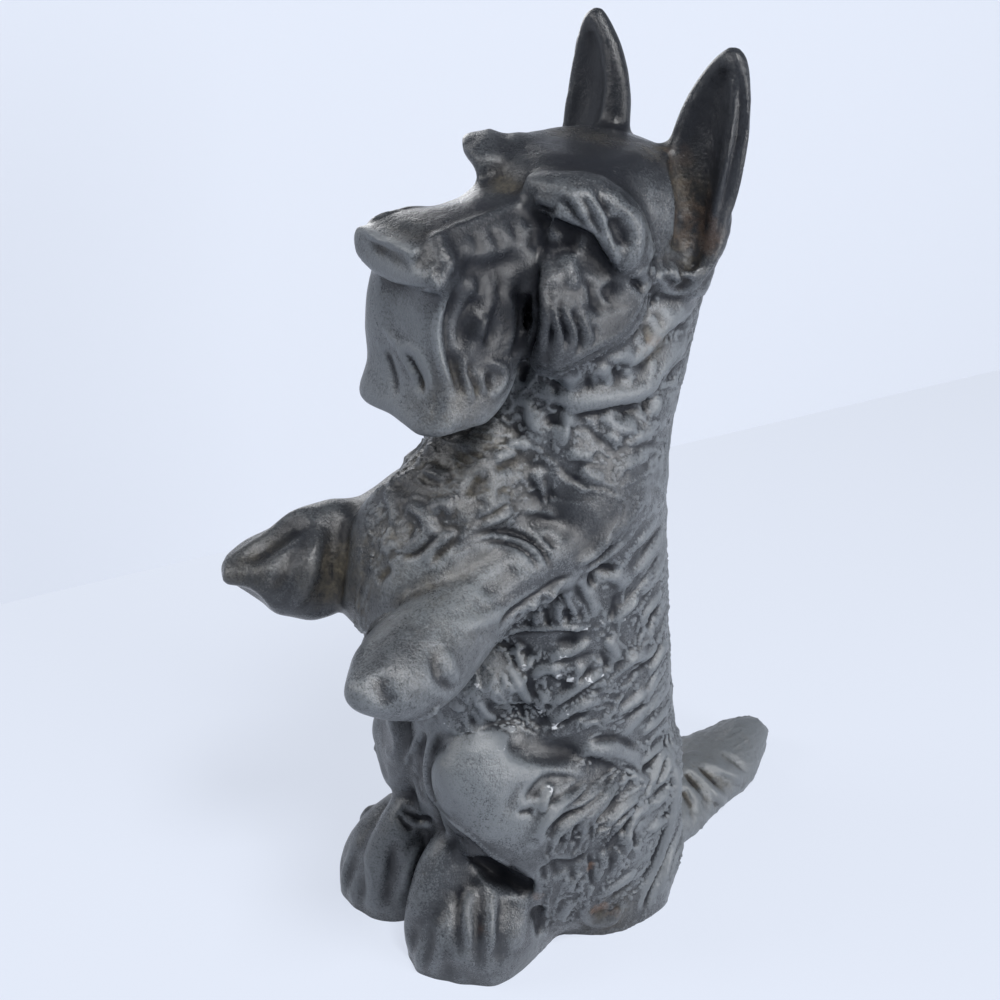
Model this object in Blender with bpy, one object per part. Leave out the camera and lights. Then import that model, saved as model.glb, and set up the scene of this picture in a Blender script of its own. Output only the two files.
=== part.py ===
# Cast iron terrier doorstop: two hollow half castings, left and right, register pegs and two long screws.
# Sizes are in millimetres. The dog looks along -Y, its left side is +X, and it stands on Z = 0.
import math

import bmesh
import bpy
import numpy as np
from mathutils import Matrix, Vector
from mathutils.bvhtree import BVHTree

mm = 0.001

# Castings: cutters run past what they cut by cutPast, and farAway lies outside the figure
wallThickness = 4.0
kneeWall = 8.0
seamGap = 0.3
touchGap = 0.3
cutPast = 2.0
farAway = 400.0

# Screws: quarter inch machine screws with slotted cheese heads
screwDiameter = 6.35
headDiameter = 11.0
headHeight = 4.0
slotWidth = 1.5
slotDepth = 1.6
headRecess = 1.5
threadReach = 20.0
tapRunout = 1.5
screwChamfer = 0.8
bossWall = 2.5
screwPlaces = {"lower_screw": (18.0, 24.0), "upper_screw": (4.0, 262.0)}

# Register pegs, cast on the left half
pegDiameter = 5.0
pegLength = 4.0
pegLugWall = 3.5
pegLugLength = 14.0
pegLugBite = 2.0
pegRoot = 3.0
frontPegHeight = 128.0
backPegHeight = 196.0

# Body, from below the floor up to the crown: height, half width, front, back, squareness
bodySections = (
    (-10.0, 57.5, -16.0, 77.0, 2.5),
    (12.0, 57.5, -18.0, 77.0, 2.5),
    (40.0, 53.5, -26.0, 73.5, 2.4),
    (75.0, 49.0, -34.0, 66.5, 2.4),
    (110.0, 47.0, -38.0, 60.0, 2.4),
    (150.0, 45.0, -41.0, 52.0, 2.3),
    (185.0, 43.0, -44.0, 46.0, 2.3),
    (212.0, 42.0, -46.0, 42.0, 2.3),
    (236.0, 39.5, -46.0, 43.0, 2.2),
    (256.0, 37.0, -43.0, 47.0, 2.3),
    (280.0, 35.0, -40.0, 51.0, 2.4),
    (306.0, 35.0, -41.0, 49.0, 2.6),
    (326.0, 34.5, -38.0, 40.0, 2.7),
    (338.0, 28.0, -34.0, 31.0, 2.6),
    (343.0, 18.0, -24.0, 18.0, 2.4),
)

# Squareness of the lofts' sections: 2 is an ellipse, and more is boxier
ovalSection = 2.0
kneeSquareness = 2.1
cheekSquareness = 3.0
limbSquareness = 2.3
noseSquareness = 3.0
muzzleSquareness = 3.2
browSquareness = 2.8
browTilt = (0.0, 1.0, 0.2)
kneeTilt = (0.0, 0.67, -0.74)

# Limbs and features: x, y, z, half width, half height at each station
shoulderStations = (
    (30.0, 2.0, 238.0, 8.0, 14.0),
    (31.0, -4.0, 226.0, 13.0, 22.0),
    (32.0, -8.0, 206.0, 14.0, 25.0),
    (32.0, -10.0, 188.0, 10.0, 19.0),
    (31.0, -8.0, 178.0, 5.0, 10.0),
)
armStations = (
    (27.0, 0.0, 202.0, 9.0, 11.0),
    (29.0, -18.0, 200.0, 14.0, 16.0),
    (31.0, -40.0, 196.0, 14.5, 15.5),
    (31.0, -62.0, 188.0, 14.0, 15.0),
    (34.0, -82.0, 180.0, 16.5, 18.0),
    (38.0, -98.0, 177.0, 19.0, 17.0),
    (42.0, -112.0, 177.0, 16.0, 13.5),
    (44.0, -122.0, 178.0, 10.0, 8.5),
    (45.0, -129.0, 179.0, 4.0, 4.0),
)
chestSections = (
    (252.0, 13.0, -44.0, -10.0, 2.4),
    (243.0, 19.5, -56.0, -10.0, 2.5),
    (232.0, 24.5, -67.0, -10.0, 2.6),
    (220.0, 28.5, -77.0, -10.0, 2.8),
    (205.0, 30.0, -86.0, -10.0, 3.2),
    (188.0, 29.0, -92.0, -10.0, 3.6),
    (170.0, 27.0, -93.0, -10.0, 3.6),
    (158.0, 24.0, -86.0, -10.0, 3.0),
)
kneePocketStations = (
    (26.0, -45.0, 47.0, 9.0, 2.5),
    (34.0, -46.0, 49.0, 14.0, 5.0),
    (43.0, -47.0, 52.0, 20.0, 7.0),
    (56.0, -49.0, 53.0, 24.0, 8.0),
    (66.0, -49.0, 53.0, 24.0, 8.0),
)
bellySections = (
    (160.0, 14.0, -48.0, -10.0, 2.4),
    (151.0, 24.0, -56.0, -10.0, 2.4),
    (141.0, 30.0, -63.0, -10.0, 2.4),
    (131.0, 30.0, -65.0, -10.0, 2.4),
    (120.0, 24.0, -64.0, -10.0, 2.4),
    (108.0, 15.0, -63.0, -10.0, 2.4),
    (94.0, 13.0, -62.0, -10.0, 2.4),
    (72.0, 13.0, -59.0, -10.0, 2.4),
    (50.0, 14.0, -53.0, -10.0, 2.6),
    (24.0, 18.0, -49.0, -10.0, 4.0),
    (-10.0, 18.0, -49.0, -10.0, 4.0),
)
kneeStations = (
    (21.0, -67.0, 91.0, 5.0, 9.0),
    (21.5, -61.0, 92.0, 13.0, 20.0),
    (23.0, -50.0, 90.0, 19.5, 28.5),
    (27.5, -30.0, 80.0, 23.5, 36.0),
    (31.0, -6.0, 60.0, 24.5, 48.0),
    (34.0, 22.0, 42.0, 23.5, 54.0),
    (33.0, 44.0, 36.0, 18.5, 50.0),
    (30.0, 60.0, 34.0, 11.0, 32.0),
)
footStations = (
    (25.0, -6.0, 8.0, 16.0, 18.0),
    (25.5, -26.0, 8.0, 21.0, 28.0),
    (26.5, -44.0, 10.0, 23.5, 34.0),
    (27.0, -57.0, 13.0, 21.5, 31.0),
    (27.0, -66.0, 16.0, 17.0, 23.0),
    (27.0, -73.0, 18.0, 9.0, 12.0),
)
instepStations = (
    (14.0, -8.0, 20.0, 11.0, 34.0),
    (14.0, -28.0, 20.0, 13.0, 43.0),
    (14.5, -46.0, 20.0, 13.5, 44.0),
    (15.0, -59.0, 20.0, 12.5, 39.0),
    (16.0, -68.0, 20.0, 9.0, 26.0),
    (16.5, -74.0, 20.0, 4.0, 12.0),
)
tailStations = (
    (0.0, 60.0, 2.0, 34.0, 22.0),
    (0.0, 88.0, 4.0, 31.0, 20.0),
    (0.0, 114.0, 6.0, 25.0, 18.0),
    (0.0, 138.0, 8.0, 19.5, 16.5),
    (0.0, 155.0, 10.0, 13.5, 14.0),
    (0.0, 163.0, 12.0, 9.0, 10.0),
    (0.0, 168.0, 13.0, 5.0, 5.0),
)
muzzleStations = (
    (0.0, -24.0, 309.0, 23.0, 23.0),
    (0.0, -46.0, 310.0, 21.0, 20.0),
    (0.0, -70.0, 309.0, 20.0, 17.0),
    (0.0, -80.0, 309.0, 20.0, 15.0),
)
noseStations = (
    (0.0, -70.0, 312.0, 19.0, 12.0),
    (0.0, -79.0, 312.0, 23.0, 9.0),
    (0.0, -86.0, 312.0, 24.0, 8.0),
    (0.0, -88.0, 312.0, 22.0, 7.0),
)
beardSections = (
    (318.0, 18.0, -82.0, -47.0, 5.0),
    (303.0, 20.5, -82.5, -42.0, 5.0),
    (287.0, 22.0, -82.0, -40.0, 5.0),
    (272.0, 24.0, -81.5, -42.0, 5.0),
    (263.0, 25.5, -82.5, -47.0, 5.0),
    (257.0, 26.5, -84.0, -54.0, 4.5),
    (253.0, 26.5, -84.0, -61.0, 4.0),
    (251.0, 25.0, -83.0, -66.0, 4.0),
)
cheekStations = (
    (26.0, -34.0, 270.0, 4.0, 9.0),
    (29.0, -32.0, 276.0, 8.0, 17.0),
    (31.0, -27.0, 285.0, 8.5, 23.0),
    (31.5, -24.0, 296.0, 8.5, 25.5),
    (30.5, -25.0, 305.0, 8.0, 24.0),
    (29.0, -28.0, 315.0, 7.0, 19.0),
    (28.0, -31.0, 324.0, 6.0, 15.0),
    (26.5, -32.0, 331.0, 4.0, 9.0),
)
browStations = (
    (10.0, -37.0, 333.0, 5.0, 6.0),
    (20.0, -35.0, 334.5, 7.0, 6.5),
    (29.0, -28.0, 333.0, 10.0, 7.5),
    (34.0, -20.0, 324.0, 12.0, 8.0),
    (35.5, -12.0, 313.0, 9.5, 7.0),
    (35.0, -9.0, 303.0, 4.0, 4.0),
)
earStations = (
    (34.0, 24.0, 292.0, 7.0, 7.0),
    (30.0, 26.0, 312.0, 12.5, 8.5),
    (28.0, 27.0, 332.0, 16.5, 8.5),
    (29.0, 28.5, 350.0, 16.0, 7.5),
    (32.0, 29.0, 364.0, 12.5, 6.0),
    (34.5, 28.5, 374.0, 8.0, 4.5),
    (36.0, 28.0, 380.0, 3.5, 3.0),
)
earCurlStations = (
    (41.0, 30.0, 322.0, 3.0, 3.5),
    (41.0, 27.0, 311.0, 3.0, 3.5),
    (39.5, 20.0, 304.0, 3.2, 3.5),
    (38.0, 10.0, 302.0, 3.2, 3.5),
    (37.0, 0.0, 304.0, 3.0, 3.0),
)
earBowlStations = (
    (38.5, 17.0, 302.0, 2.0, 5.0),
    (37.0, 17.0, 314.0, 4.0, 6.0),
    (34.0, 18.0, 328.0, 8.0, 6.5),
    (31.0, 19.0, 342.0, 11.0, 7.0),
    (31.0, 20.0, 354.0, 11.0, 7.0),
    (33.0, 21.0, 366.0, 8.0, 6.0),
    (35.0, 22.0, 374.0, 3.5, 5.0),
)

# Fur and folds in relief: width, height over the skin, then y, z along the stroke in the side view
sideLocks = (
    (3.2, 2.0, ((-14.0, 308.0), (-7.0, 303.0), (-4.0, 295.0), (-9.0, 288.0), (-25.0, 282.0), (-40.0, 278.0))),
    (3.0, -1.8, ((0.0, 300.0), (0.0, 290.0), (-8.0, 282.0), (-25.0, 276.0), (-38.0, 272.0))),
    (3.2, 1.8, ((22.0, 290.0), (12.0, 283.0), (3.0, 275.0), (-6.0, 272.0), (-20.0, 276.0))),
    (3.2, 1.8, ((26.0, 272.0), (12.0, 264.0), (-6.0, 258.0), (-26.0, 259.0), (-42.0, 265.0))),
    (3.0, -1.6, ((24.0, 264.0), (12.0, 257.0), (-6.0, 251.0), (-24.0, 251.0))),
    (3.0, -1.8, ((-50.0, 328.0), (-42.0, 325.0), (-33.0, 319.0), (-26.0, 312.0), (-20.0, 305.0))),
    (2.6, -1.6, ((-76.0, 306.0), (-73.0, 294.0), (-72.0, 280.0), (-74.0, 266.0))),
    (3.0, 1.6, ((-60.0, 303.0), (-62.0, 296.0), (-66.0, 288.0))),
    (3.2, 1.6, ((-56.0, 236.0), (-44.0, 231.0), (-32.0, 231.0))),
    (3.2, 1.6, ((-8.0, 242.0), (2.0, 238.0), (10.0, 232.0))),
    (3.2, 1.6, ((-30.0, 192.0), (-20.0, 201.0), (-10.0, 209.0), (0.0, 214.0))),
    (3.2, 1.6, ((-8.0, 186.0), (4.0, 196.0), (14.0, 206.0))),
    (3.2, 1.8, ((-60.0, 176.0), (-56.0, 166.0), (-51.0, 158.0))),
    (3.2, 1.6, ((-42.0, 190.0), (-36.0, 182.0), (-30.0, 174.0))),
    (3.2, 1.6, ((-28.0, 190.0), (-24.0, 182.0), (-20.0, 174.0))),
    (3.2, 1.8, ((-36.0, 160.0), (-26.0, 163.0), (-14.0, 170.0))),
    (3.2, 1.8, ((-44.0, 138.0), (-32.0, 142.0), (-18.0, 152.0))),
    (3.0, 1.6, ((0.0, 162.0), (8.0, 172.0), (16.0, 184.0))),
    (3.0, 1.6, ((2.0, 138.0), (14.0, 146.0), (26.0, 158.0))),
    (3.0, 1.6, ((12.0, 118.0), (24.0, 130.0), (34.0, 146.0))),
    (3.0, 1.6, ((4.0, 104.0), (22.0, 114.0), (38.0, 128.0))),
    (3.4, -2.0, ((-60.0, 132.0), (-46.0, 129.0), (-34.0, 124.0), (-22.0, 118.0))),
    (3.4, 1.8, ((-32.0, 113.0), (-18.0, 110.0), (-4.0, 102.0), (8.0, 92.0))),
    (3.4, -1.8, ((-40.0, 103.0), (-46.0, 96.0), (-50.0, 88.0))),
    (3.0, 1.8, ((-16.0, 97.0), (-27.0, 90.0), (-35.0, 82.0), (-39.0, 72.0))),
    (3.0, 1.8, ((4.0, 87.0), (-10.0, 80.0), (-22.0, 73.0), (-29.0, 63.0))),
    (3.0, 1.8, ((16.0, 80.0), (4.0, 72.0), (-8.0, 65.0), (-14.0, 54.0), (-24.0, 50.0))),
    (3.0, 1.8, ((24.0, 68.0), (14.0, 62.0), (6.0, 52.0), (4.0, 40.0))),
    (3.0, -1.6, ((14.0, 70.0), (2.0, 62.0), (-4.0, 52.0))),
    (3.0, 1.8, ((40.0, 84.0), (42.0, 64.0), (38.0, 44.0), (32.0, 24.0))),
    (3.0, -1.8, ((34.0, 60.0), (31.0, 42.0), (26.0, 24.0))),
    (3.2, -1.6, ((76.0, 24.0), (90.0, 16.0), (106.0, 8.0))),
    (3.2, -1.6, ((92.0, 24.0), (108.0, 17.0), (124.0, 10.0))),
)
# And x, z along the stroke in the front view
frontLocks = (
    (2.8, -2.0, ((19.0, 2.0), (19.0, 14.0), (20.0, 26.0))),
    (2.8, -2.0, ((29.0, 2.0), (29.0, 15.0), (28.0, 30.0))),
    (2.8, -2.0, ((39.0, 2.0), (38.0, 14.0), (36.0, 26.0))),
    (3.0, 1.6, ((26.0, 246.0), (20.0, 236.0), (18.0, 226.0))),
    (3.0, -1.6, ((18.0, 246.0), (12.0, 236.0), (11.0, 226.0))),
)
locksFacing = (0.15, 0.5)

# Skin quality
voxelSize = 1.8
skinSmoothSteps = 3
bowlSmoothSteps = 2
coreSmoothSteps = 4
creaseAngle = 35
skinTriangles = 3950
coreTriangles = 700
ringPoints = 28
stepsPerStation = 4
roundPoints = 24

blackPaint = (0.022, 0.023, 0.025)
steelColour = (0.24, 0.22, 0.20)


def clearScene():
    for item in list(bpy.data.objects):
        bpy.data.objects.remove(item, do_unlink=True)


def makeMaterial(name, colour, metallic, roughness):
    material = bpy.data.materials.new(name)
    material.use_nodes = True
    shader = material.node_tree.nodes["Principled BSDF"]
    shader.inputs["Base Color"].default_value = (*colour, 1.0)
    shader.inputs["Metallic"].default_value = metallic
    shader.inputs["Roughness"].default_value = roughness
    return material


def eased(stations, steps):
    # Catmull-Rom curve through the stations, so that a loft swells and tapers smoothly
    table = np.array(stations, float)
    padded = np.vstack([2 * table[0] - table[1], table, 2 * table[-1] - table[-2]])
    rows = []
    for index in range(len(table) - 1):
        before, start, end, after = padded[index:index + 4]
        for step in range(steps):
            t = step / steps
            rows.append(0.5 * (2 * start + (end - before) * t
                               + (2 * before - 5 * start + 4 * end - after) * t ** 2
                               + (3 * start - before - 3 * end + after) * t ** 3))
    rows.append(table[-1])
    return rows


def ovalPoint(angle, squareness):
    cosine, sine = math.cos(angle), math.sin(angle)
    power = 2.0 / squareness
    across = math.copysign(abs(cosine) ** power, cosine)
    upward = math.copysign(abs(sine) ** power, sine)
    return across, upward


def addLoft(bm, rings):
    loops = [[bm.verts.new(point) for point in ring] for ring in rings]
    count = len(loops[0])
    for lower, upper in zip(loops, loops[1:]):
        for k in range(count):
            following = (k + 1) % count
            bm.faces.new((lower[k], lower[following], upper[following], upper[k]))
    bm.faces.new(list(reversed(loops[0])))
    bm.faces.new(loops[-1])


def towerRings(sections, inset=0.0):
    rings = []
    for height, halfWidth, front, back, squareness in eased(sections, stepsPerStation):
        middle = (front + back) / 2
        halfDepth = (back - front) / 2 - inset
        ring = []
        for k in range(ringPoints):
            across, along = ovalPoint(2 * math.pi * k / ringPoints, squareness)
            ring.append(Vector((across * (halfWidth - inset), middle + along * halfDepth, height)) * mm)
        rings.append(ring)
    return rings


def sectionAt(sections, height):
    # Front and back of a standing mass at a height
    rows = np.array(sorted(eased(sections, stepsPerStation), key=lambda row: row[0]))
    return [np.interp(height, rows[:, 0], rows[:, column]) for column in (2, 3)]


def pegPlaces():
    # The lugs grow out of the front and the back wall, just inside the seam
    inwards = wallThickness + pegDiameter / 2 + pegLugWall - pegLugBite
    front = sectionAt(bellySections, frontPegHeight)[0] + inwards
    back = sectionAt(bodySections, backPegHeight)[1] - inwards
    return ((front, frontPegHeight), (back, backPegHeight))


def limbRings(stations, squareness=ovalSection, inset=0.0, across=(1.0, 0.0, 0.0)):
    rows = eased(stations, stepsPerStation)
    centres = [Vector(row[:3]) for row in rows]
    rings = []
    for index, row in enumerate(rows):
        ahead = centres[min(index + 1, len(rows) - 1)]
        behind = centres[max(index - 1, 0)]
        tangent = (ahead - behind).normalized()
        side = Vector(across)
        side = (side - tangent * side.dot(tangent)).normalized()
        rise = tangent.cross(side)
        ring = []
        for k in range(ringPoints):
            sideways, upward = ovalPoint(2 * math.pi * k / ringPoints, squareness)
            offset = side * sideways * max(row[3] - inset, 0.5) + rise * upward * max(row[4] - inset, 0.5)
            ring.append((centres[index] + offset) * mm)
        rings.append(ring)
    return rings


def meshObject(name, bm):
    bmesh.ops.recalc_face_normals(bm, faces=bm.faces)
    mesh = bpy.data.meshes.new(name)
    bm.to_mesh(mesh)
    bm.free()
    item = bpy.data.objects.new(name, mesh)
    bpy.context.scene.collection.objects.link(item)
    return item


def loftObject(name, ringSets):
    bm = bmesh.new()
    for rings in ringSets:
        addLoft(bm, rings)
    return meshObject(name, bm)


def settle(item):
    # Keep what the modifiers make as the object's own mesh
    bpy.context.view_layer.update()
    graph = bpy.context.evaluated_depsgraph_get()
    mesh = bpy.data.meshes.new_from_object(item.evaluated_get(graph))
    item.modifiers.clear()
    item.data = mesh
    return item


def boolean(item, other, operation, solver="EXACT"):
    modifier = item.modifiers.new(operation.lower(), "BOOLEAN")
    modifier.operation = operation
    modifier.solver = solver
    modifier.object = other
    settle(item)
    bpy.data.objects.remove(other, do_unlink=True)
    return item


def blended(item, smoothing):
    # One skin over all the masses, with the soft fillets that a sand casting has
    remesh = item.modifiers.new("skin", "REMESH")
    remesh.mode = "VOXEL"
    remesh.voxel_size = voxelSize * mm
    remesh.adaptivity = 0.0
    soften = item.modifiers.new("fillets", "SMOOTH")
    soften.factor = 0.5
    soften.iterations = smoothing
    return settle(item)


def thinned(item, triangles):
    item.data.calc_loop_triangles()
    ratio = triangles / len(item.data.loop_triangles)
    if ratio < 1:
        decimate = item.modifiers.new("facets", "DECIMATE")
        decimate.ratio = ratio
        settle(item)
    return item


def box(name, low, high):
    bm = bmesh.new()
    bmesh.ops.create_cube(bm, size=1.0)
    size = [(b - a) * mm for a, b in zip(low, high)]
    centre = [(a + b) / 2 * mm for a, b in zip(low, high)]
    bmesh.ops.transform(bm, matrix=Matrix.Translation(centre) @ Matrix.Diagonal((*size, 1.0)), verts=bm.verts)
    return meshObject(name, bm)


def rod(name, place, start, end, diameter):
    # Round bar along X from start to end, centred on place = (y, z)
    bm = bmesh.new()
    bmesh.ops.create_cone(bm, cap_ends=True, segments=roundPoints, radius1=diameter / 2 * mm,
                          radius2=diameter / 2 * mm, depth=abs(end - start) * mm)
    turn = Matrix.Rotation(math.pi / 2, 4, "Y")
    shift = Matrix.Translation(((start + end) / 2 * mm, place[0] * mm, place[1] * mm))
    bmesh.ops.transform(bm, matrix=shift @ turn, verts=bm.verts)
    return meshObject(name, bm)


def strokeShare(places, stroke, width):
    # From 1 on the stroke to 0 beside it, fading out towards its ends
    line = np.array(eased(stroke, stepsPerStation))
    low, high = line.min(0) - 3 * width, line.max(0) + 3 * width
    inside = np.nonzero(np.all((places > low) & (places < high), axis=1))[0]
    share = np.zeros(len(places))
    best = np.full(len(inside), np.inf)
    along = np.zeros(len(inside))
    for index, (start, end) in enumerate(zip(line, line[1:])):
        run = end - start
        part = np.clip((places[inside] - start) @ run / (run @ run), 0, 1)
        apart = ((places[inside] - start - part[:, None] * run) ** 2).sum(1)
        closer = apart < best
        best[closer] = apart[closer]
        along[closer] = (index + part[closer]) / (len(line) - 1)
    share[inside] = np.exp(-best / width ** 2) * np.sin(math.pi * np.clip(along, 0.06, 0.94)) ** 0.5
    return share


def locksRaised(item):
    # The fur's main locks and folds stand on the skin, mirrored on both sides
    count = len(item.data.vertices)
    places = np.empty(count * 3)
    normals = np.empty(count * 3)
    item.data.vertices.foreach_get("co", places)
    item.data.vertices.foreach_get("normal", normals)
    places = places.reshape(-1, 3)
    normals = normals.reshape(-1, 3)
    sideView = places[:, 1:] / mm
    frontView = np.column_stack([np.abs(places[:, 0]), places[:, 2]]) / mm
    low, high = locksFacing
    views = ((sideLocks, sideView, normals[:, 0] * np.sign(places[:, 0])), (frontLocks, frontView, -normals[:, 1]))
    relief = np.zeros(count)
    for locks, view, facing in views:
        seen = np.clip((facing - low) / (high - low), 0, 1)
        for width, height, stroke in locks:
            relief += height * seen * strokeShare(view, stroke, width)
    item.data.vertices.foreach_set("co", (places + normals * relief[:, None] * mm).ravel())
    item.data.update()
    return item


def figureMass():
    masses = [
        towerRings(bodySections),
        limbRings(shoulderStations),
        limbRings(armStations, limbSquareness),
        towerRings(chestSections),
        towerRings(bellySections),
        limbRings(kneeStations, kneeSquareness),
        limbRings(footStations, limbSquareness),
        limbRings(instepStations, limbSquareness),
        limbRings(tailStations),
        limbRings(muzzleStations, muzzleSquareness),
        limbRings(noseStations, noseSquareness),
        towerRings(beardSections),
        limbRings(cheekStations, cheekSquareness),
        limbRings(browStations, browSquareness, across=browTilt),
        limbRings(earStations),
        limbRings(earCurlStations),
    ]
    figure = loftObject("figure", masses)
    blended(figure, skinSmoothSteps)
    hollows = [limbRings(earBowlStations), limbRings(kneePocketStations, across=kneeTilt)]
    boolean(figure, loftObject("hollows", hollows), "DIFFERENCE")
    blended(figure, bowlSmoothSteps)
    return locksRaised(figure)


def coreMass():
    core = loftObject("core", [
        towerRings(bodySections[:-3], wallThickness),
        towerRings(chestSections[1:-1], wallThickness),
        towerRings(bellySections[1:], wallThickness),
        limbRings(kneeStations[2:-1], kneeSquareness, kneeWall),
        limbRings(footStations[:-1], limbSquareness, wallThickness),
        limbRings(tailStations[:-2], ovalSection, wallThickness),
    ])
    blended(core, coreSmoothSteps)
    # The wall goes round the pocket under the knee
    pocket = loftObject("pocket_wall", [limbRings(kneePocketStations, inset=-wallThickness, across=kneeTilt)])
    boolean(core, pocket, "DIFFERENCE")
    return blended(core, bowlSmoothSteps)


def halfSpace(name):
    return box(name, (seamGap / 2, -farAway, 0), (farAway, farAway, 2 * farAway))


def sideReach(skin, place):
    # Distance from the seam to the outer skin, along X, at place = (y, z)
    tree = BVHTree.FromObject(skin, bpy.context.evaluated_depsgraph_get())
    start = Vector((farAway, *place)) * mm
    hit = tree.ray_cast(start, Vector((-1, 0, 0)))
    return hit[0].x / mm


def mirrored(item, name):
    copy = bpy.data.objects.new(name, item.data.copy())
    bpy.context.scene.collection.objects.link(copy)
    copy.data.transform(Matrix.Scale(-1, 4, (1, 0, 0)))
    copy.data.flip_normals()
    return copy


def makeShell():
    figure = figureMass()
    thinned(figure, 2 * skinTriangles)
    boolean(figure, halfSpace("left_space"), "INTERSECT")
    core = coreMass()
    thinned(core, 2 * coreTriangles)
    for place in screwPlaces.values():
        boolean(core, rod("boss", place, -cutPast, farAway, headDiameter + 2 * bossWall), "DIFFERENCE")
    for place in pegPlaces():
        boolean(core, rod("lug", place, -cutPast, pegLugLength, pegDiameter + 2 * pegLugWall), "DIFFERENCE")
    boolean(core, box("core_side", (-cutPast, -farAway, -farAway), (farAway, farAway, farAway)), "INTERSECT")
    skin = bpy.data.objects.new("skin_guide", figure.data.copy())
    bpy.context.scene.collection.objects.link(skin)
    boolean(figure, core, "DIFFERENCE")
    return figure, skin


def makeScrew(name, place, seat):
    # Cheese-head screw on the X axis, head outwards on the right side, built by turning its half profile
    tip = threadReach
    radius = screwDiameter / 2
    head = headDiameter / 2
    top = -seat - headHeight
    profile = (
        (tip, 0.0), (tip, radius - screwChamfer), (tip - screwChamfer, radius),
        (-seat, radius), (-seat, head), (top + screwChamfer, head),
        (top, head - screwChamfer), (top, 0.0),
    )
    bm = bmesh.new()
    points = [bm.verts.new((x * mm, y * mm, 0)) for x, y in profile]
    edges = [bm.edges.new(pair) for pair in zip(points, points[1:])]
    bmesh.ops.spin(bm, geom=points + edges, axis=(1, 0, 0), cent=(0, 0, 0), angle=2 * math.pi,
                   steps=roundPoints, use_merge=True)
    bmesh.ops.remove_doubles(bm, verts=bm.verts, dist=0.00001)
    bmesh.ops.translate(bm, vec=(0, place[0] * mm, place[1] * mm), verts=bm.verts)
    screw = meshObject(name, bm)
    slot = box("slot", (top - cutPast, place[0] - slotWidth / 2, place[1] - headDiameter),
               (top + slotDepth, place[0] + slotWidth / 2, place[1] + headDiameter))
    boolean(screw, slot, "DIFFERENCE")
    return screw


def finish(item, material):
    item.data.materials.clear()
    item.data.materials.append(material)
    item.data.shade_smooth()
    item.data.set_sharp_from_angle(angle=math.radians(creaseAngle))


def main():
    clearScene()
    paint = makeMaterial("black_paint", blackPaint, 0.35, 0.42)
    steel = makeMaterial("screw_steel", steelColour, 0.9, 0.45)
    leftHalf, skin = makeShell()
    leftHalf.name = "left_half"
    rightHalf = mirrored(leftHalf, "right_half")
    holeDiameter = screwDiameter + 2 * touchGap
    for name, place in screwPlaces.items():
        reach = sideReach(skin, place)
        seat = reach - headRecess - headHeight
        boolean(leftHalf, rod("tapped", place, -cutPast, threadReach + tapRunout, holeDiameter), "DIFFERENCE")
        boolean(rightHalf, rod("clear", place, -reach, cutPast, holeDiameter), "DIFFERENCE")
        boolean(rightHalf, rod("counterbore", place, -reach - headDiameter, -seat, headDiameter + 2 * touchGap), "DIFFERENCE")
        finish(makeScrew(name, place, seat + touchGap), steel)
    for place in pegPlaces():
        boolean(leftHalf, rod("peg", place, -pegLength, pegRoot, pegDiameter), "UNION")
        # The exact solver drops a facet of the socket at some heights, so this cut uses the manifold one
        socket = rod("socket", place, -pegLength - touchGap, cutPast, pegDiameter + 2 * touchGap)
        boolean(rightHalf, socket, "DIFFERENCE", "MANIFOLD")
    bpy.data.objects.remove(skin, do_unlink=True)
    finish(leftHalf, paint)
    finish(rightHalf, paint)
    corners = [vertex.co for half in (leftHalf, rightHalf) for vertex in half.data.vertices]
    front = min(corner.y for corner in corners)
    back = max(corner.y for corner in corners)
    for item in bpy.data.objects:
        item.data.transform(Matrix.Translation((0, -(front + back) / 2, 0)))


main()
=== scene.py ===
# Cast iron terrier doorstop: two painted half castings with their fur relief, on a pale floor
import itertools
import math
import random
import time

import bmesh
import bpy
import numpy as np
from mathutils import Matrix, Vector, noise
from mathutils.bvhtree import BVHTree
from mathutils.kdtree import KDTree


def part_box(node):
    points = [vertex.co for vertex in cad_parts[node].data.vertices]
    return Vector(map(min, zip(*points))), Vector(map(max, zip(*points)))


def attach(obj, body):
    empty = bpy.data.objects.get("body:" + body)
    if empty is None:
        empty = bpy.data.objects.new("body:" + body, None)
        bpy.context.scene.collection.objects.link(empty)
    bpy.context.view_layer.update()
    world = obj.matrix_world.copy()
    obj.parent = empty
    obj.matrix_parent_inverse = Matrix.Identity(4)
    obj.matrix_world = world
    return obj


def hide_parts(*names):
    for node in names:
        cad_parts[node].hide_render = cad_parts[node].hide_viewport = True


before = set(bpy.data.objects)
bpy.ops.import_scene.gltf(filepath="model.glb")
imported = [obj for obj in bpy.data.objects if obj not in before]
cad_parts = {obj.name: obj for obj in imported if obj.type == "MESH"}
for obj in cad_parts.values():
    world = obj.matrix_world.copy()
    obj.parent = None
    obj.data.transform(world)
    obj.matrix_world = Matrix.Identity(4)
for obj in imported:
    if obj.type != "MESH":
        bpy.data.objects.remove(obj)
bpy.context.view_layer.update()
startTime = time.time()
mm = 0.001


def report(words):
    print("%5.1f s  %s" % (time.time() - startTime, words))


def only(piece):
    # operators act on the selection, so just this piece is selected
    bpy.ops.object.select_all(action="DESELECT")
    piece.select_set(True)
    bpy.context.view_layer.objects.active = piece


def newPiece(name, bm):
    mesh = bpy.data.meshes.new(name)
    bm.to_mesh(mesh)
    bm.free()
    piece = bpy.data.objects.new(name, mesh)
    bpy.context.scene.collection.objects.link(piece)
    return piece


def applied(piece, kind, **settings):
    only(piece)
    modifier = piece.modifiers.new(kind.lower(), kind)
    for key, value in settings.items():
        setattr(modifier, key, value)
    bpy.ops.object.modifier_apply(modifier=modifier.name)
    return piece


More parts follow.
